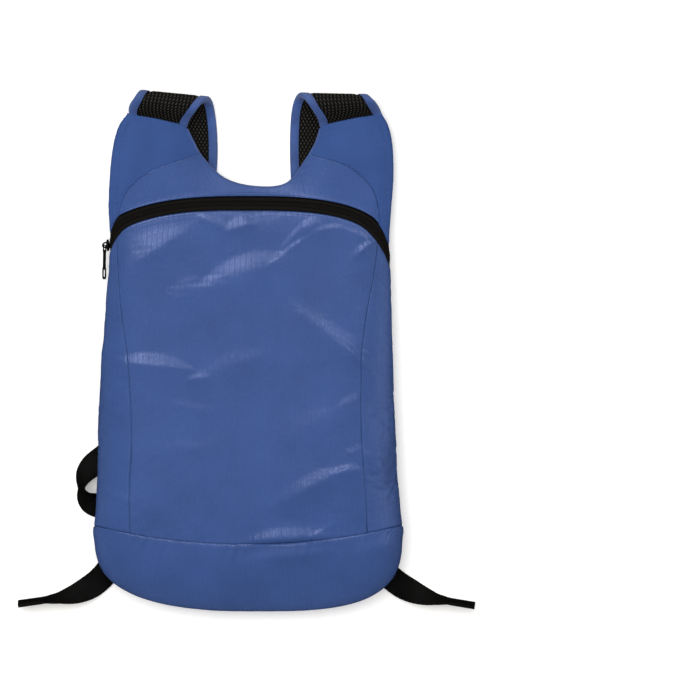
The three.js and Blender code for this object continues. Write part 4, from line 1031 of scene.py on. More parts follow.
def zip_tape_material(colours):
    """Black twill tape of the zip."""
    material, tree, shader = new_material("zip tape", Roughness=0.75, Specular_IOR_Level=0.08)
    u, v = cloth_axes(tree)
    diagonal, cross = weave_ribs(tree, "zip_tape", math_node(tree, "ADD", u, v), v)
    twill = math_node(tree, "MULTIPLY_ADD", diagonal, 0.7, math_node(tree, "MULTIPLY", cross, 0.3))
    two_tone(tree, shader, twill, colours.zip, 0.7, 1.4)
    bump(tree, shader, twill, 0.4, 0.0002)
    return material


def grain_material(name, colour, roughness, gloss, grain, relief, metallic=0.0):
    """Moulded or coated hard finish: fine grain, edges drawn a little brighter."""
    material, tree, shader = new_material(name, Metallic=metallic, Specular_IOR_Level=gloss)
    fine = noise(tree, grain, 3.0)
    # Convex edges, found by their pointiness, are drawn brighter in the base colour
    edge = node(tree, "NewGeometry").outputs["Pointiness"]
    brighter_edges = math_node(tree, "MULTIPLY_ADD", fine, 0.35, span(tree, edge, 0.5, 0.6, 0.0, 0.6))
    two_tone(tree, shader, brighter_edges, colour, 0.7, 2.2)
    tree.links.new(span(tree, fine, 0.3, 0.7, roughness - 0.06, roughness + 0.08), shader.inputs["Roughness"])
    bump(tree, shader, fine, 0.25, relief)
    return material


def thread_material(colours):
    """Twisted polyester sewing thread."""
    material, tree, shader = new_material("sewing thread", Roughness=0.6, Sheen_Weight=0.1)
    ply = noise(tree, 1400.0, 2.0)
    two_tone(tree, shader, ply, colours.thread, 0.6, 1.3)
    bump(tree, shader, ply, 0.3, 0.0001)
    return material


# Nylon by how its panel is cut: name, gloss and haze
NYLON_FINISHES = {
    "nylon": ("ripstop nylon", 0.42, 0.18),
    "bias_cut": ("ripstop nylon, bias cut", 0.25, 0.12),
    "cross_cut": ("ripstop nylon, cross cut", 0.06, 0.0),
}
MATERIALS = {}


def materials(context):
    """All finishes, made once and then kept by name."""
    if not MATERIALS:
        sizes, colours = context.scene.backpack_sizes, context.scene.backpack_colours
        for key, (name, gloss, haze) in NYLON_FINISHES.items():
            MATERIALS[key] = nylon_material(name, colours, sizes, gloss, haze)
        MATERIALS.update(
            binding=binding_material(colours),
            mesh=mesh_material(colours),
            webbing=webbing_material(colours),
            zip_tape=zip_tape_material(colours),
            coil=grain_material(
                "zip coil", shade(colours.zip, 0.8), roughness=0.7, gloss=0.03, grain=700.0, relief=0.00005),
            lock=grain_material(
                "moulded plastic", colours.lock, roughness=0.45, gloss=0.5, grain=500.0, relief=0.00008),
            enamel=grain_material(
                "black enamel", colours.metal, roughness=0.34, gloss=0.5, grain=900.0, relief=0.00004,
                metallic=0.6),
            thread=thread_material(colours),
        )
    return MATERIALS


# Straps and webbing
def strap_edge(side, edge):
    """One edge of a strap, from its root under the shoulder panel to its end at the lock."""
    rows = STRAPS[side]
    line = spline(np.stack([rows[edge + "_x"], rows[edge + "_y"], rows["z"]], -1), np.linspace(0, 1, 420))
    root = line[:1] + STRAP["root"] * unit(line[:1] - line[4:5]) - (0, 0, STRAP["root_sink"])
    return np.vstack([root, line])


def strap_frames(side):
    """Sections along a strap: place on the inner edge, direction across, direction up, width and run."""
    inner, outer = strap_edge(side, "in"), strap_edge(side, "out")
    across = outer - inner
    width = np.linalg.norm(across, axis=1)
    across = unit(across)
    along = unit(unit(np.gradient(inner, axis=0)) + unit(np.gradient(outer, axis=0)))
    up = unit(np.cross(along, across))
    return {
        "origin": inner, "across": across, "up": up, "width": width, "run": run_lengths((inner + outer) / 2),
    }


def strap_point(frames, run, across, up):
    """Points of a strap from the run along it, the distance from its inner edge and the height."""
    origin, aside, out = (read_at(run, frames["run"], frames[key]) for key in ("origin", "across", "up"))
    return origin + unit(aside) * across[..., None] + unit(out) * up[..., None]


def strap_height(across, width):
    """Half thickness of the mesh, thin under the bindings and full between them."""
    thin = STRAP["thick"] / 2 - STRAP["tape"] - STRAP["slack"]
    inward = np.minimum(across, width - across)
    start = STRAP["binding"] - KNIT["underlap"]
    return thin + STRAP["puff"] * ease(inward, start, STRAP["binding"] + STRAP["puff_run"])


def strap_core(frames):
    """Closed padding under the knitted faces."""
    edge = STRAP["tape"] + STRAP["slack"]
    width = frames["width"][:, None]
    share = np.linspace(0, 1, 22)[None]
    across = lerp(edge, width - edge, share)
    height = strap_height(across, width) - STRAP["skin"]
    run = np.broadcast_to(frames["run"][:, None], across.shape)
    top = strap_point(frames, run, across, height)
    low = strap_point(frames, run, across, -height)
    return loft(np.concatenate([top, low[:, ::-1]], 1))


def strap_knit(frames, pitch, face):
    """Perforated face of the strap: a staggered net of six-sided cells, each a ring round its hole."""
    row_pitch = pitch * math.sqrt(3) / 2
    total = frames["run"][-1]
    widest = frames["width"].max()
    rows = np.arange(KNIT["end"], total - KNIT["end"], row_pitch)
    columns = np.arange(0, widest + pitch, pitch)
    run, across = np.meshgrid(rows, columns, indexing="ij")
    across = across + (np.arange(len(rows)) % 2)[:, None] * pitch / 2
    width = np.interp(run, frames["run"], frames["width"])
    margin = STRAP["binding"] - KNIT["underlap"]
    kept = (across > margin) & (across < width - margin)
    run, across = run[kept][:, None], across[kept][:, None]
    angles = np.radians(np.arange(6) * 60 + 30)
    reach = pitch / math.sqrt(3)
    rings = []
    for wide, tall, drop in ((1, 1, 0.0), (*KNIT["hole"], KNIT["sink"])):
        ring_run = np.clip(run + reach * tall * np.sin(angles), 0, total)
        ring_across = across + reach * wide * np.cos(angles)
        ring_width = np.interp(ring_run, frames["run"], frames["width"])
        height = strap_height(ring_across, ring_width) - drop
        rings.append(strap_point(frames, ring_run, ring_across, face * height))
    points = np.stack(rings, 1).reshape(-1, 3)
    one = np.array([(k, (k + 1) % 6, 6 + (k + 1) % 6, 6 + k) for k in range(6)])
    faces = (one[None] + 12 * np.arange(len(run))[:, None, None]).reshape(-1, 4)
    # Painted highlight: of the six faces of a cell, the two that run along the strap are drawn pale, the
    # others dark
    pale = np.tile([KNIT["dark"], KNIT["dark"], 1.0], 2 * len(run))
    return points, faces[:, ::-1] if face > 0 else faces, pale


def binding_sections(frames, edge, seed):
    """Folded tape round one edge of a strap, a little uneven along its length."""
    half, tape, reach = STRAP["thick"] / 2, STRAP["tape"], STRAP["binding"]
    inside = half - tape
    turn = np.linspace(math.pi / 2, math.pi * 1.5, 13)
    rounded = np.stack([1.5 + 1.5 * np.cos(turn), half * np.sin(turn)], -1)
    stitch = STITCH_ROWS["strap"]
    over = np.array([
        (reach, inside), (reach + 0.1, half - 0.35), (reach - 0.45, half), (stitch, half - 0.22),
        (4.9, half), (3.4, half + 0.1), (2.4, half + 0.05),
    ])
    within = np.array([
        (reach - 0.6, -inside), (2.0, -inside), (1.0, -0.9), (0.8, 0), (1.0, 0.9), (2.0, inside),
        (reach - 0.6, inside),
    ])
    profile = np.vstack([over, rounded, over[::-1] * (1, -1), within])
    across = np.broadcast_to(profile[:, 0], (len(frames["run"]), len(profile))).copy()
    height = np.broadcast_to(profile[:, 1], across.shape).copy()
    run = np.broadcast_to(frames["run"][:, None], across.shape)
    outer = np.abs(height) > inside + 0.1
    uneven = BINDING_WAVER["height"] * wave(run, seed, *BINDING_WAVER["waves"])
    uneven *= np.sin(across / reach * math.pi)
    height += np.where(outer, np.sign(height) * uneven, 0)
    if edge == "outer":
        across = frames["width"][:, None] - across
    return strap_point(frames, run, across, height)


def webbing_sections(side):
    """Ribbed band along its table, with full selvedges and a doubled hem at the end of its tail."""
    rows = WEBBINGS[side]
    shares = np.linspace(0, 1, 2400)
    path = spline(np.stack([rows["x"], rows["y"], rows["z"]], -1), shares)
    lengths = run_lengths(path)
    places = np.linspace(0, lengths[-1], int(lengths[-1] / WEBBING["step"]))
    knots = np.linspace(0, 1, len(rows["x"]))
    share = np.interp(places, lengths, shares)
    centre = resample(path, places)
    soften = WEBBING["soften"]
    kernel = np.hanning(2 * soften + 1) / np.hanning(2 * soften + 1).sum()
    turns = []
    for key in ("across", "stand"):
        turn = np.radians(np.interp(share, knots, rows[key]))
        turns.append(np.convolve(np.pad(turn, soften, "edge"), kernel, "valid"))
    heading, stand = turns
    wide = np.stack([np.cos(heading) * np.cos(stand), np.sin(heading) * np.cos(stand), np.sin(stand)], -1)
    face = unit(np.cross(unit(np.gradient(centre, axis=0)), wide))
    plain = np.full(len(knots) - len(WEBBING["hem"]), WEBBING["thick"])
    thick = np.interp(share, knots, np.concatenate([plain, WEBBING["hem"]]))
    half_across = np.array([1.0, 0.97, 0.9, 0.84, 0.6, 0.3])
    half_profile = np.array([0.45, 0.95, 1.1, 0.82, 0.9, 0.9])
    across = np.concatenate([-half_across, [0], half_across[::-1]]) * WEBBING["width"] / 2
    profile = np.concatenate([half_profile, [0.9], half_profile[::-1]])
    rib = WEBBING["rib_height"] * np.sin(places * 2 * math.pi / WEBBING["rib"])[:, None]
    waver = 1 + WEBBING["waver"] * np.sin(places * math.pi / WEBBING["rib"])[:, None]
    height = thick[:, None] / 2 * profile + rib * (profile > 0.5)
    middle = centre[:, None] + wide[:, None] * (across * waver)[..., None]
    upper = middle + face[:, None] * height[..., None]
    lower = middle - face[:, None] * (height - rib)[..., None]
    return np.concatenate([upper, lower[:, ::-1]], 1)


# Settings
def length_property(name, description, default):
    return bpy.props.FloatProperty(
        name=name, description=description, default=default, unit="LENGTH", precision=5)


def power_property(name, description, default):
    return bpy.props.FloatProperty(name=name, description=description, default=default, unit="POWER")


def colour_property(name, description, default):
    return bpy.props.FloatVectorProperty(
        name=name, description=description, default=default, subtype="COLOR", size=3, min=0, max=1)


class BackpackSizes(bpy.types.PropertyGroup):
    """Sizes of the cloth and its details."""

    cloth: length_property("Cloth", "Wall of a nylon panel", 0.0007)
    ripstop: length_property("Ripstop", "Pitch of the heavier threads", 0.0043)
    seam_dip: length_property("Seam dip", "Depth to which cloth is drawn into a seam", 0.00012)
    pucker: length_property("Pucker", "Height of the puckers along a seam", 0.0004)
    crinkle: length_property("Crinkle", "Unevenness of the slack cloth", 0.00014)
    mesh_pitch: length_property("Mesh pitch", "Distance between holes of the strap mesh", 0.0029)
    stitch: length_property("Stitch", "Pitch of the sewing stitches", 0.0032)
    tooth: length_property("Tooth", "Pitch of the zip's teeth", 0.0017)


class BackpackColours(bpy.types.PropertyGroup):
    """Colours of the finishes."""

    nylon: colour_property("Nylon", "Blue of the panels", (0.0355, 0.074, 0.22))
    binding: colour_property("Binding", "Blue of the edge tapes", (0.037, 0.079, 0.245))
    thread: colour_property("Thread", "Blue of the stitches", (0.033, 0.07, 0.22))
    # Colour of the painted highlight on the mesh threads that run along the strap
    mesh: colour_property("Mesh", "Raised threads of the strap mesh", (0.047, 0.042, 0.033))
    mesh_gap: colour_property("Mesh gap", "Padding seen through the mesh", (0.003, 0.003, 0.003))
    webbing: colour_property("Webbing", "Black of the webbing", (0.0033, 0.0031, 0.0028))
    zip: colour_property("Zip", "Black of the zip", (0.0056, 0.0049, 0.0042))
    metal: colour_property("Metal", "Black of the slider and pull", (0.012, 0.012, 0.012))
    lock: colour_property("Lock", "Black of the ladder locks", (0.012, 0.012, 0.013))


class StudioSettings(bpy.types.PropertyGroup):
    """Floor, light and camera."""

    floor: colour_property("Floor", "Colour of the floor", (0.93, 0.92, 0.9))
    key_power: power_property("Key power", "Power of the gloss light at the upper left", 15.8)
    side_power: power_property("Side power", "Power of the gloss light at the upper right", 7.5)
    edge_power: power_property("Edge power", "Power of the low gloss light at the right", 3.0)
    fill_power: power_property("Fill power", "Power of the even light overhead", 115.0)
    floor_glow: bpy.props.FloatProperty(
        name="Floor glow", description="Light of the floor itself, as on a light table", default=0.24)
    sky: bpy.props.FloatProperty(name="Sky", description="Strength of the even light all round", default=0.5)
    camera_height: length_property("Camera height", "Distance of the camera over the floor", 9.0)
    focus_height: length_property("Focus height", "Height at which the picture has its width", 0.025)
    view_width: length_property("View width", "Width of the picture at the bag", 0.56)
    view_x: length_property("View centre", "How far right of the bag's middle the camera stands", 0.082)


# Operators
def sewn_panel(context, name, grid, edges, seed, slack=1.0, welted=False, finish="nylon"):
    """One panel of sewn nylon with its wall, its finish and its flat cut."""
    sizes = context.scene.backpack_sizes
    points, flat, seam = sew(grid, edges, seed, sizes, slack, welted)
    points[..., 2] = np.maximum(points[..., 2], FLOOR_GAP)
    faces = grid_faces(*grid.shape[:2])
    quads = points.reshape(-1, 3)[faces[:, :3]]
    facing = np.cross(quads[:, 1] - quads[:, 0], quads[:, 2] - quads[:, 0])
    if (facing * grid_normals(grid)[:-1, :-1].reshape(-1, 3)).sum() < 0:
        faces = faces[:, ::-1]
    values = {"seam": seam.ravel()}
    piece = new_piece(name + "_cloth", points.reshape(-1, 3), faces, flat.reshape(-1, 2), values)
    apply_modifier(piece, "SOLIDIFY", thickness=sizes.cloth, offset=-1.0)
    finish_piece(piece, materials(context)[finish], "nylon", name)


class BACKPACK_OT_panels(bpy.types.Operator):
    """Sew the nylon panels of the body"""

    bl_idname = "backpack.panels"
    bl_label = "Nylon panels"

    def execute(self, context):
        sewn_panel(context, "front_panel", front_panel_grid(), ("seam", "seam", "zip", "seam"), seed=100)
        sewn_panel(context, "bottom_panel", bottom_panel_grid(), ("rim", "rim", "seam", "seam"), seed=200)
        sewn_panel(
            context, "yoke_panel", yoke_panel_grid(), ("free", "free", "zip", "seam"), seed=300,
            slack=SLACK["yoke"], finish="bias_cut")
        sewn_panel(context, "back_panel", back_panel_grid(), ("seam", "seam", "seam", "free"), seed=400)
        for number, side in enumerate(SIDES_OF_BAG):
            seed = 500 + 100 * number
            sewn_panel(
                context, f"side_panel_{side}", side_panel_grid(side), ("seam", "seam", "zip", "seam"), seed,
                slack=SLACK["side"])
            sewn_panel(
                context, f"shoulder_panel_{side}", shoulder_panel_grid(side), ("seam", "seam", "seam", "zip"),
                seed + 50, welted=True, finish="cross_cut")
        return {"FINISHED"}


class BACKPACK_OT_neck_binding(bpy.types.Operator):
    """Bind the edge of the neckline"""

    bl_idname = "backpack.neck_binding"
    bl_label = "Neck binding"

    def execute(self, context):
        share = np.linspace(NECK_BINDING["from"], NECK_BINDING["to"], 190)
        sections = []
        for angle in np.linspace(0, 2 * math.pi, 17)[:-1]:
            inward = NECK_BINDING["width"] / 2 * (1 - self.squared(math.cos(angle)))
            up = 0.5 + 0.5 * self.squared(math.sin(angle))
            x, y = neck_inset(share, inward)
            z = lerp(back_height(x, y), front_height(x, y) + GAP, up)
            sections.append(np.stack([x, y, z], -1))
        piece = new_piece("neck_binding_tape", *loft(np.stack(sections, 1)))
        finish_piece(piece, materials(context)["binding"], "binding", "neck_binding")
        return {"FINISHED"}

    @staticmethod
    def squared(value):
        """Sine or cosine of a round section, pushed out towards a box."""
        return math.copysign(abs(value) ** NECK_BINDING["squareness"], value)


class BACKPACK_OT_zip(bpy.types.Operator):
    """Weave the zip's tapes and set its teeth"""

    bl_idname = "backpack.zip"
    bl_label = "Zip"

    def execute(self, context):
        # Sections of a tape and of the coil: distance from the middle of the zip, depth under the skin
        half = ZIP["coil"] / 2
        near, far, under = half + 0.05, ZIP["band"] / 2 + GAP / 2, 3.6
        tape = [
            (near, 0.2), (lerp(near, far, 0.3), 0.22), (lerp(near, far, 0.6), 0.3), (far - 0.2, 0.5),
            (far, 1.0), (far + 1.6, 1.9), (far + under, 2.6), (far + under, 3.0), (near, 1.3),
        ]
        base = [
            (-half, 0.3), (-half * 0.55, 0.1), (half * 0.55, 0.1), (half, 0.3), (half * 0.5, 1.4),
            (-half * 0.5, 1.4),
        ]
        finishes = materials(context)
        for name, sign in (("zip_tape_upper", 1), ("zip_tape_lower", -1)):
            sections = np.stack([zip_line(sign * at, inset) for at, inset in tape], 1)
            finish_piece(new_piece(name + "_cloth", *loft(sections)), finishes["zip_tape"], "zip", name)
        bed_points, bed_faces, _ = loft(np.stack([zip_line(at, inset) for at, inset in base], 1))
        bars = self.teeth(context.scene.backpack_sizes.tooth / MM)
        points = np.vstack([bed_points, bars[0]])
        faces = bed_faces + (bars[1] + len(bed_points)).tolist()
        finish_piece(new_piece("zip_teeth", points, faces), finishes["coil"], "zip", "zip_coil")
        return {"FINISHED"}

    @staticmethod
    def teeth(pitch):
        """Arched bars across the zip, leaning one way then the other."""
        half = ZIP["coil"] / 2
        rails = [(-half + 0.1, 0.3), (-half * 0.62, 0.05), (0.0, 0.0), (half * 0.62, 0.05), (half - 0.1, 0.3)]
        lines = [zip_line(at, inset) for at, inset in rails]
        total = min(run_lengths(line)[-1] for line in lines)
        count = int(total / pitch)
        rings = []
        for number, line in enumerate(lines):
            length = run_lengths(line)[-1]
            lean = (number - 2) * TOOTH["lean"] * pitch
            at = (np.arange(count) + 0.5) / count * length + lean
            centre = resample(line, at)
            ahead = unit(resample(line, at + 0.5) - resample(line, at - 0.5))
            up = unit(np.cross(ahead, resample(lines[0], at) - resample(lines[-1], at)))
            up *= np.sign(up[:, 2:].sum())
            swell = 1.0 if 0 < number < len(lines) - 1 else TOOTH["end"]
            thick = TOOTH["thick"] * pitch * swell
            rings.append(np.stack([
                centre + ahead * thick, centre + up * TOOTH["above"] * swell,
                centre - ahead * thick, centre - up * TOOTH["below"] * swell,
            ], 1))
        points = np.stack(rings, 1).reshape(-1, 3)
        return points, bar_faces(points, len(rings))


def flat_plate(name, outline, holes, thick, bevel):
    """Plate with rounded rims from a closed outline and holes, in millimetres, made as a flat curve."""
    curve = bpy.data.curves.new(name, "CURVE")
    curve.dimensions = "2D"
    curve.fill_mode = "BOTH"
    curve.extrude = (thick / 2 - bevel) * MM
    curve.bevel_depth = bevel * MM
    curve.bevel_resolution = 3
    curve.offset = -bevel * MM
    for loop in (outline, *holes):
        line = curve.splines.new("POLY")
        line.points.add(len(loop) - 1)
        for point, (x, y) in zip(line.points, loop):
            point.co = (x * MM, y * MM, 0, 1)
        line.use_cyclic_u = True
    plate = bpy.data.objects.new(name, curve)
    bpy.context.collection.objects.link(plate)
    pick(plate)
    bpy.ops.object.convert(target="MESH")
    plate = bpy.context.active_object
    weld(plate, PLATE_WELD, closed=True)
    return plate


def set_down(piece, matrix):
    """Places a piece and puts its place in its mesh."""
    piece.matrix_world = matrix
    pick(piece)
    bpy.ops.object.transform_apply(location=True, rotation=True, scale=True)
    bpy.ops.object.shade_smooth_by_angle(angle=SMOOTH_ANGLE)


def rounded_box(x0, y0, x1, y1, corner):
    """Points of a rectangle with round corners."""
    left, right, low, high = x0 + corner, x1 - corner, y0 + corner, y1 - corner
    points = []
    for number, (x, y) in enumerate(((right, high), (left, high), (left, low), (right, low))):
        for angle in np.linspace(number, number + 1, 5) * math.pi / 2:
            points.append((x + corner * math.cos(angle), y + corner * math.sin(angle)))
    return points


def slider_seat():
    """Place of the slider on the zip, with x along the zip and z out of it."""
    turn, reach = math.radians(SLIDER["turn"]), math.radians(SLIDER["seat_turn"])
    clear = -ZIP["proud"] - GAP

    def at(angle, offset):
        turns = np.array([angle])
        return Vector(flank_point("left", zip_level("left", turns, offset), turns, clear)[0])

    run = (at(turn - reach, 0) - at(turn + reach, 0)).normalized()
    rise = at(turn, ZIP["coil"] / 2) - at(turn, -ZIP["coil"] / 2)
    out = rise.cross(run).normalized()
    return at(turn, 0), run, out.cross(run), out


def basis(x, y, z, origin):
    """Placing matrix in metres from three axes and an origin in metres."""
    matrix = Matrix((x, y, z)).transposed().to_4x4()
    matrix.translation = origin
    return matrix


def pull_place():
    """Hinge of the pull, read from the joint: x along the pull, y along the hinge."""
    joint = frame["joints"][0]
    across = -Vector(joint["axis"]).normalized()
    face = PULL_HEADING.cross(across).normalized()
    return basis(PULL_HEADING, across, face, Vector(joint["pos_m"]))


class BACKPACK_OT_slider(bpy.types.Operator):
    """Cast the slider with its bail, and the slotted pull"""

    bl_idname = "backpack.slider"
    bl_label = "Slider and pull"

    def execute(self, context):
        enamel = materials(context)["enamel"]
        origin, run, aside, out = slider_seat()
        long, wide = SLIDER["length"] / 2, SLIDER["width"] / 2
        shares = ((-1, 0.5), (-0.75, 0.72), (-0.4, 1), (0.2, 1), (0.85, 0.84), (1, 0.6))
        rim = [(x * long, y * wide) for x, y in shares]
        outline = [*((x, -y) for x, y in rim), *rim[::-1]]
        slider = flat_plate("slider_body", outline, (), SLIDER["plate"], SLIDER["bevel"])
        seat = basis(run, aside, out, (origin + out * SLIDER["plate"] / 2) * MM)
        set_down(slider, seat)
        hinge = pull_place()
        bpy.ops.object.select_all(action="DESELECT")
        bpy.ops.mesh.primitive_torus_add(
            major_radius=BAIL["ring"] * MM, minor_radius=BAIL["wire"] * MM,
            major_segments=36, minor_segments=14)
        bail = bpy.context.active_object
        upright = Matrix.Rotation(math.pi / 2, 4, "X")
        longer = Matrix.Translation((0, 0, -BAIL["drop"] * MM)) @ Matrix.Scale(BAIL["stretch"], 4, (0, 0, 1))
        set_down(bail, hinge @ longer @ upright)
        apply_modifier(slider, "BOOLEAN", operation="UNION", object=bail, solver="EXACT")
        bpy.data.objects.remove(bail)
        pick(slider)
        bpy.ops.object.shade_smooth_by_angle(angle=JOINED_ANGLE)
        finish_piece(slider, enamel, "slider", "zip_slider")

        # Pull, by distance from its hinge and from its middle
        end, half = PULL["tip"], PULL["half"]
        side = [
            (-0.2, 1.7), (4.6, 1.7), (5.4, 1.6), (6.4, 1.4), (17.6, 1.4), (18.6, 1.65),
            (19.6, half), (end, half),
        ]
        turns = np.linspace(math.pi / 2, -math.pi / 2, 13)[1:-1]
        tip = [(end + half * math.cos(turn), half * math.sin(turn)) for turn in turns]
        outline = [*side, *tip, *((x, -y) for x, y in side[::-1])]
        eye = rounded_box(0.6, -1.2, 4.0, 1.2, 0.9)
        window = rounded_box(19.8, -1.1, end + 0.2, 1.1, 1.0)
        pull = flat_plate("pull_tab", outline, (eye, window), PULL["thick"], PULL["bevel"])
        set_down(pull, hinge)
        finish_piece(pull, enamel, "slider", "zip_pull", body="zip_pull")
        return {"FINISHED"}


class BACKPACK_OT_straps(bpy.types.Operator):
    """Make the mesh shoulder straps and bind their edges"""

    bl_idname = "backpack.straps"
    bl_label = "Shoulder straps"

    def execute(self, context):
        finishes = materials(context)
        pitch = context.scene.backpack_sizes.mesh_pitch / MM
        for number, side in enumerate(SIDES_OF_BAG):
            frames = strap_frames(side)
            core_points, core_faces, _ = strap_core(frames)
            values = {"pale": np.zeros(len(core_faces))}
            piece = new_piece(f"strap_mesh_{side}_pad", core_points, core_faces, values=values, domain="FACE")
            nets = [strap_knit(frames, pitch, face) for face in (1, -1)]
            points, quads = gather([net[:2] for net in nets])
            values = {"pale": np.concatenate([net[2] for net in nets])}
            knit = new_piece(f"strap_knit_{side}", points, quads, values=values, domain="FACE")
            weld(knit, KNIT_WELD, closed=False)
            apply_modifier(knit, "SOLIDIFY", thickness=KNIT["thick"] * MM, offset=-1.0)
            pick(piece)
            knit.select_set(True)
            bpy.ops.object.join()
            finish_piece(piece, finishes["mesh"], "mesh", f"strap_mesh_{side}")
            for place, edge in enumerate(("inner", "outer")):
                sections = binding_sections(frames, edge, seed=700 + 10 * number + place)
                tape = new_piece(f"strap_binding_{edge}_{side}_tape", *loft(sections))
                finish_piece(tape, finishes["binding"], "binding", f"strap_binding_{edge}_{side}")
        return {"FINISHED"}


class BACKPACK_OT_webbing(bpy.types.Operator):
    """Weave the adjusting webbing"""

    bl_idname = "backpack.webbing"
    bl_label = "Webbing"

    def execute(self, context):
        for side in SIDES_OF_BAG:
            piece = new_piece(f"webbing_{side}_band", *loft(webbing_sections(side)))
            finish_piece(piece, materials(context)["webbing"], "webbing", f"webbing_{side}")
        return {"FINISHED"}


class BACKPACK_OT_locks(bpy.types.Operator):
    """Mould the ladder locks"""

    bl_idname = "backpack.locks"
    bl_label = "Ladder locks"

    def execute(self, context):
        half, rail, slot = LOCK["width"] / 2, LOCK["bar"], LOCK["slot"]
        tall = 3 * rail + 2 * slot
        web = LOCK["web_slot"] / 2
        outline = rounded_box(-half, 0, half, tall, LOCK["corner"])
        lows = (rail, 2 * rail + slot)
        holes = [rounded_box(-web, low, web, low + slot, LOCK["slot_corner"]) for low in lows]
        for side in SIDES_OF_BAG:
            lock = flat_plate(f"ladder_lock_{side}_frame", outline, holes, LOCK["thick"], LOCK["bevel"])
            place = Vector((SIGN[side] * LOCK["x"], LOCK["foot"], LOCK["low"] + LOCK["thick"] / 2)) * MM
            set_down(lock, Matrix.Translation(place))
            finish_piece(lock, materials(context)["lock"], "lock", f"ladder_lock_{side}")
        return {"FINISHED"}


class BACKPACK_OT_stitching(bpy.types.Operator):
    """Sew the visible rows of stitches"""

    bl_idname = "backpack.stitching"
    bl_label = "Stitching"

    def execute(self, context):
        pitch = context.scene.backpack_sizes.stitch / MM
        ends = STITCH_ROWS["zip_ends"]
        rows = []
        for sign in (1, -1):
            offset = sign * (ZIP["band"] / 2 + ZIP_HEM["stitch"])
            line, lower = (zip_line(offset, inset)[ends:-ends] for inset in (0.2, 1.2))
            rows.append(stitches(line, unit(line - lower), pitch))
        for side in SIDES_OF_BAG:
            y = np.linspace(STITCH_ROWS["from_y"], STITCH_ROWS["to_y"], 60)
            x = SIGN[side] * (half_width(side, y) - STITCH_ROWS["shoulder"])
            line = front_point(x, y)
            rows.append(stitches(line, unit(line - front_point(x - SIGN[side], y, 1.0)), pitch))
            frames = strap_frames(side)
            inner = np.full(len(frames["run"]), STITCH_ROWS["strap"])
            for across in (inner, frames["width"] - inner):
                for face in (1, -1):
                    rise = np.full(len(across), face * STITCH_ROWS["strap_rise"])
                    line = strap_point(frames, frames["run"], across, rise)
                    rows.append(stitches(line, face * frames["up"], pitch))
        points, faces = gather(rows)
        finish_piece(new_piece("seam_stitches", points, faces), materials(context)["thread"], "binding")
        return {"FINISHED"}


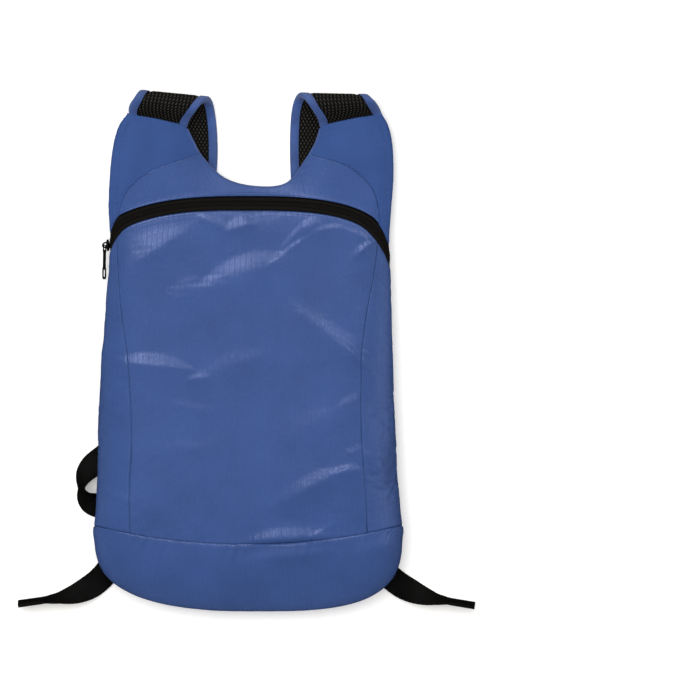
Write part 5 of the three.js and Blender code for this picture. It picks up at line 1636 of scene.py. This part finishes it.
class BACKPACK_OT_stage(bpy.types.Operator):
    """Lay the floor, set the studio light and the camera"""

    bl_idname = "backpack.stage"
    bl_label = "Stage"

    def execute(self, context):
        scene = context.scene
        studio = scene.backpack_studio
        floor = self.floor(studio)
        world = bpy.data.worlds.new("studio")
        scene.world = world
        world.use_nodes = True
        background = world.node_tree.nodes["Background"]
        background.inputs["Color"].default_value = (1.0, 1.0, 1.0, 1.0)
        background.inputs["Strength"].default_value = studio.sky
        world.cycles_visibility.glossy = False
        key, side, edge, fill = (self.lamp(studio, name) for name in LAMPS)
        for lamp in (key, side, edge):
            lamp.visible_diffuse = False
        fill.visible_glossy = False
        lens = bpy.data.cameras.new("camera")
        lens.sensor_width = SENSOR_WIDTH
        lens.lens = SENSOR_WIDTH * (studio.camera_height - studio.focus_height) / studio.view_width
        lens.clip_end = 100.0
        camera = bpy.data.objects.new("camera", lens)
        camera.location = (studio.view_x, 0.0, studio.camera_height)
        scene.collection.objects.link(camera)
        scene.camera = camera
        scene.view_settings.view_transform = "Standard"
        return {"FINISHED"}

    @staticmethod
    def floor(studio):
        """Pale floor that glows a little, as a light table does."""
        bpy.ops.object.select_all(action="DESELECT")
        bpy.ops.mesh.primitive_plane_add(size=FLOOR_SIZE)
        floor = bpy.context.active_object
        floor.name = "studio_floor"
        material, tree, shader = new_material("pale floor", Roughness=0.9, Specular_IOR_Level=0.1)
        two_tone(tree, shader, noise(tree, 3.0, 2.0), studio.floor, 0.99, 1.0)
        shader.inputs["Emission Color"].default_value = (*studio.floor, 1.0)
        shader.inputs["Emission Strength"].default_value = studio.floor_glow
        floor.data.materials.append(material)
        floor.visible_glossy = False
        return floor

    @staticmethod
    def lamp(studio, name):
        """Soft rectangular light that faces the bag."""
        place, size = LAMPS[name]
        light = bpy.data.lights.new(name, "AREA")
        light.shape = "RECTANGLE"
        light.size, light.size_y = size
        light.energy = getattr(studio, name + "_power")
        lamp = bpy.data.objects.new(name, light)
        lamp.location = place
        lamp.rotation_euler = (-lamp.location).to_track_quat("-Z", "Y").to_euler()
        bpy.context.scene.collection.objects.link(lamp)
        return lamp


OPERATORS = (
    BACKPACK_OT_panels, BACKPACK_OT_neck_binding, BACKPACK_OT_zip, BACKPACK_OT_slider, BACKPACK_OT_straps,
    BACKPACK_OT_webbing, BACKPACK_OT_locks, BACKPACK_OT_stitching, BACKPACK_OT_stage,
)
SETTINGS = {
    "backpack_sizes": BackpackSizes, "backpack_colours": BackpackColours, "backpack_studio": StudioSettings,
}


class BACKPACK_PT_sidebar(bpy.types.Panel):
    """Lists the operators and the settings"""

    bl_idname = "BACKPACK_PT_sidebar"
    bl_label = "Sports backpack"
    bl_space_type = "VIEW_3D"
    bl_region_type = "UI"
    bl_category = "Backpack"

    def draw(self, context):
        for operator in OPERATORS:
            self.layout.operator(operator.bl_idname)
        for name, group in SETTINGS.items():
            box = self.layout.box()
            for key in group.__annotations__:
                box.prop(getattr(context.scene, name), key)


CLASSES = (*SETTINGS.values(), *OPERATORS, BACKPACK_PT_sidebar)


def register():
    for cls in CLASSES:
        bpy.utils.register_class(cls)
    for name, group in SETTINGS.items():
        setattr(bpy.types.Scene, name, bpy.props.PointerProperty(type=group))


def unregister():
    for name in SETTINGS:
        delattr(bpy.types.Scene, name)
    for cls in reversed(CLASSES):
        bpy.utils.unregister_class(cls)


def main():
    register()
    bpy.ops.backpack.panels()
    bpy.ops.backpack.neck_binding()
    bpy.ops.backpack.zip()
    bpy.ops.backpack.slider()
    bpy.ops.backpack.straps()
    bpy.ops.backpack.webbing()
    bpy.ops.backpack.locks()
    bpy.ops.backpack.stitching()
    bpy.ops.backpack.stage()


if __name__ == "__main__":
    main()
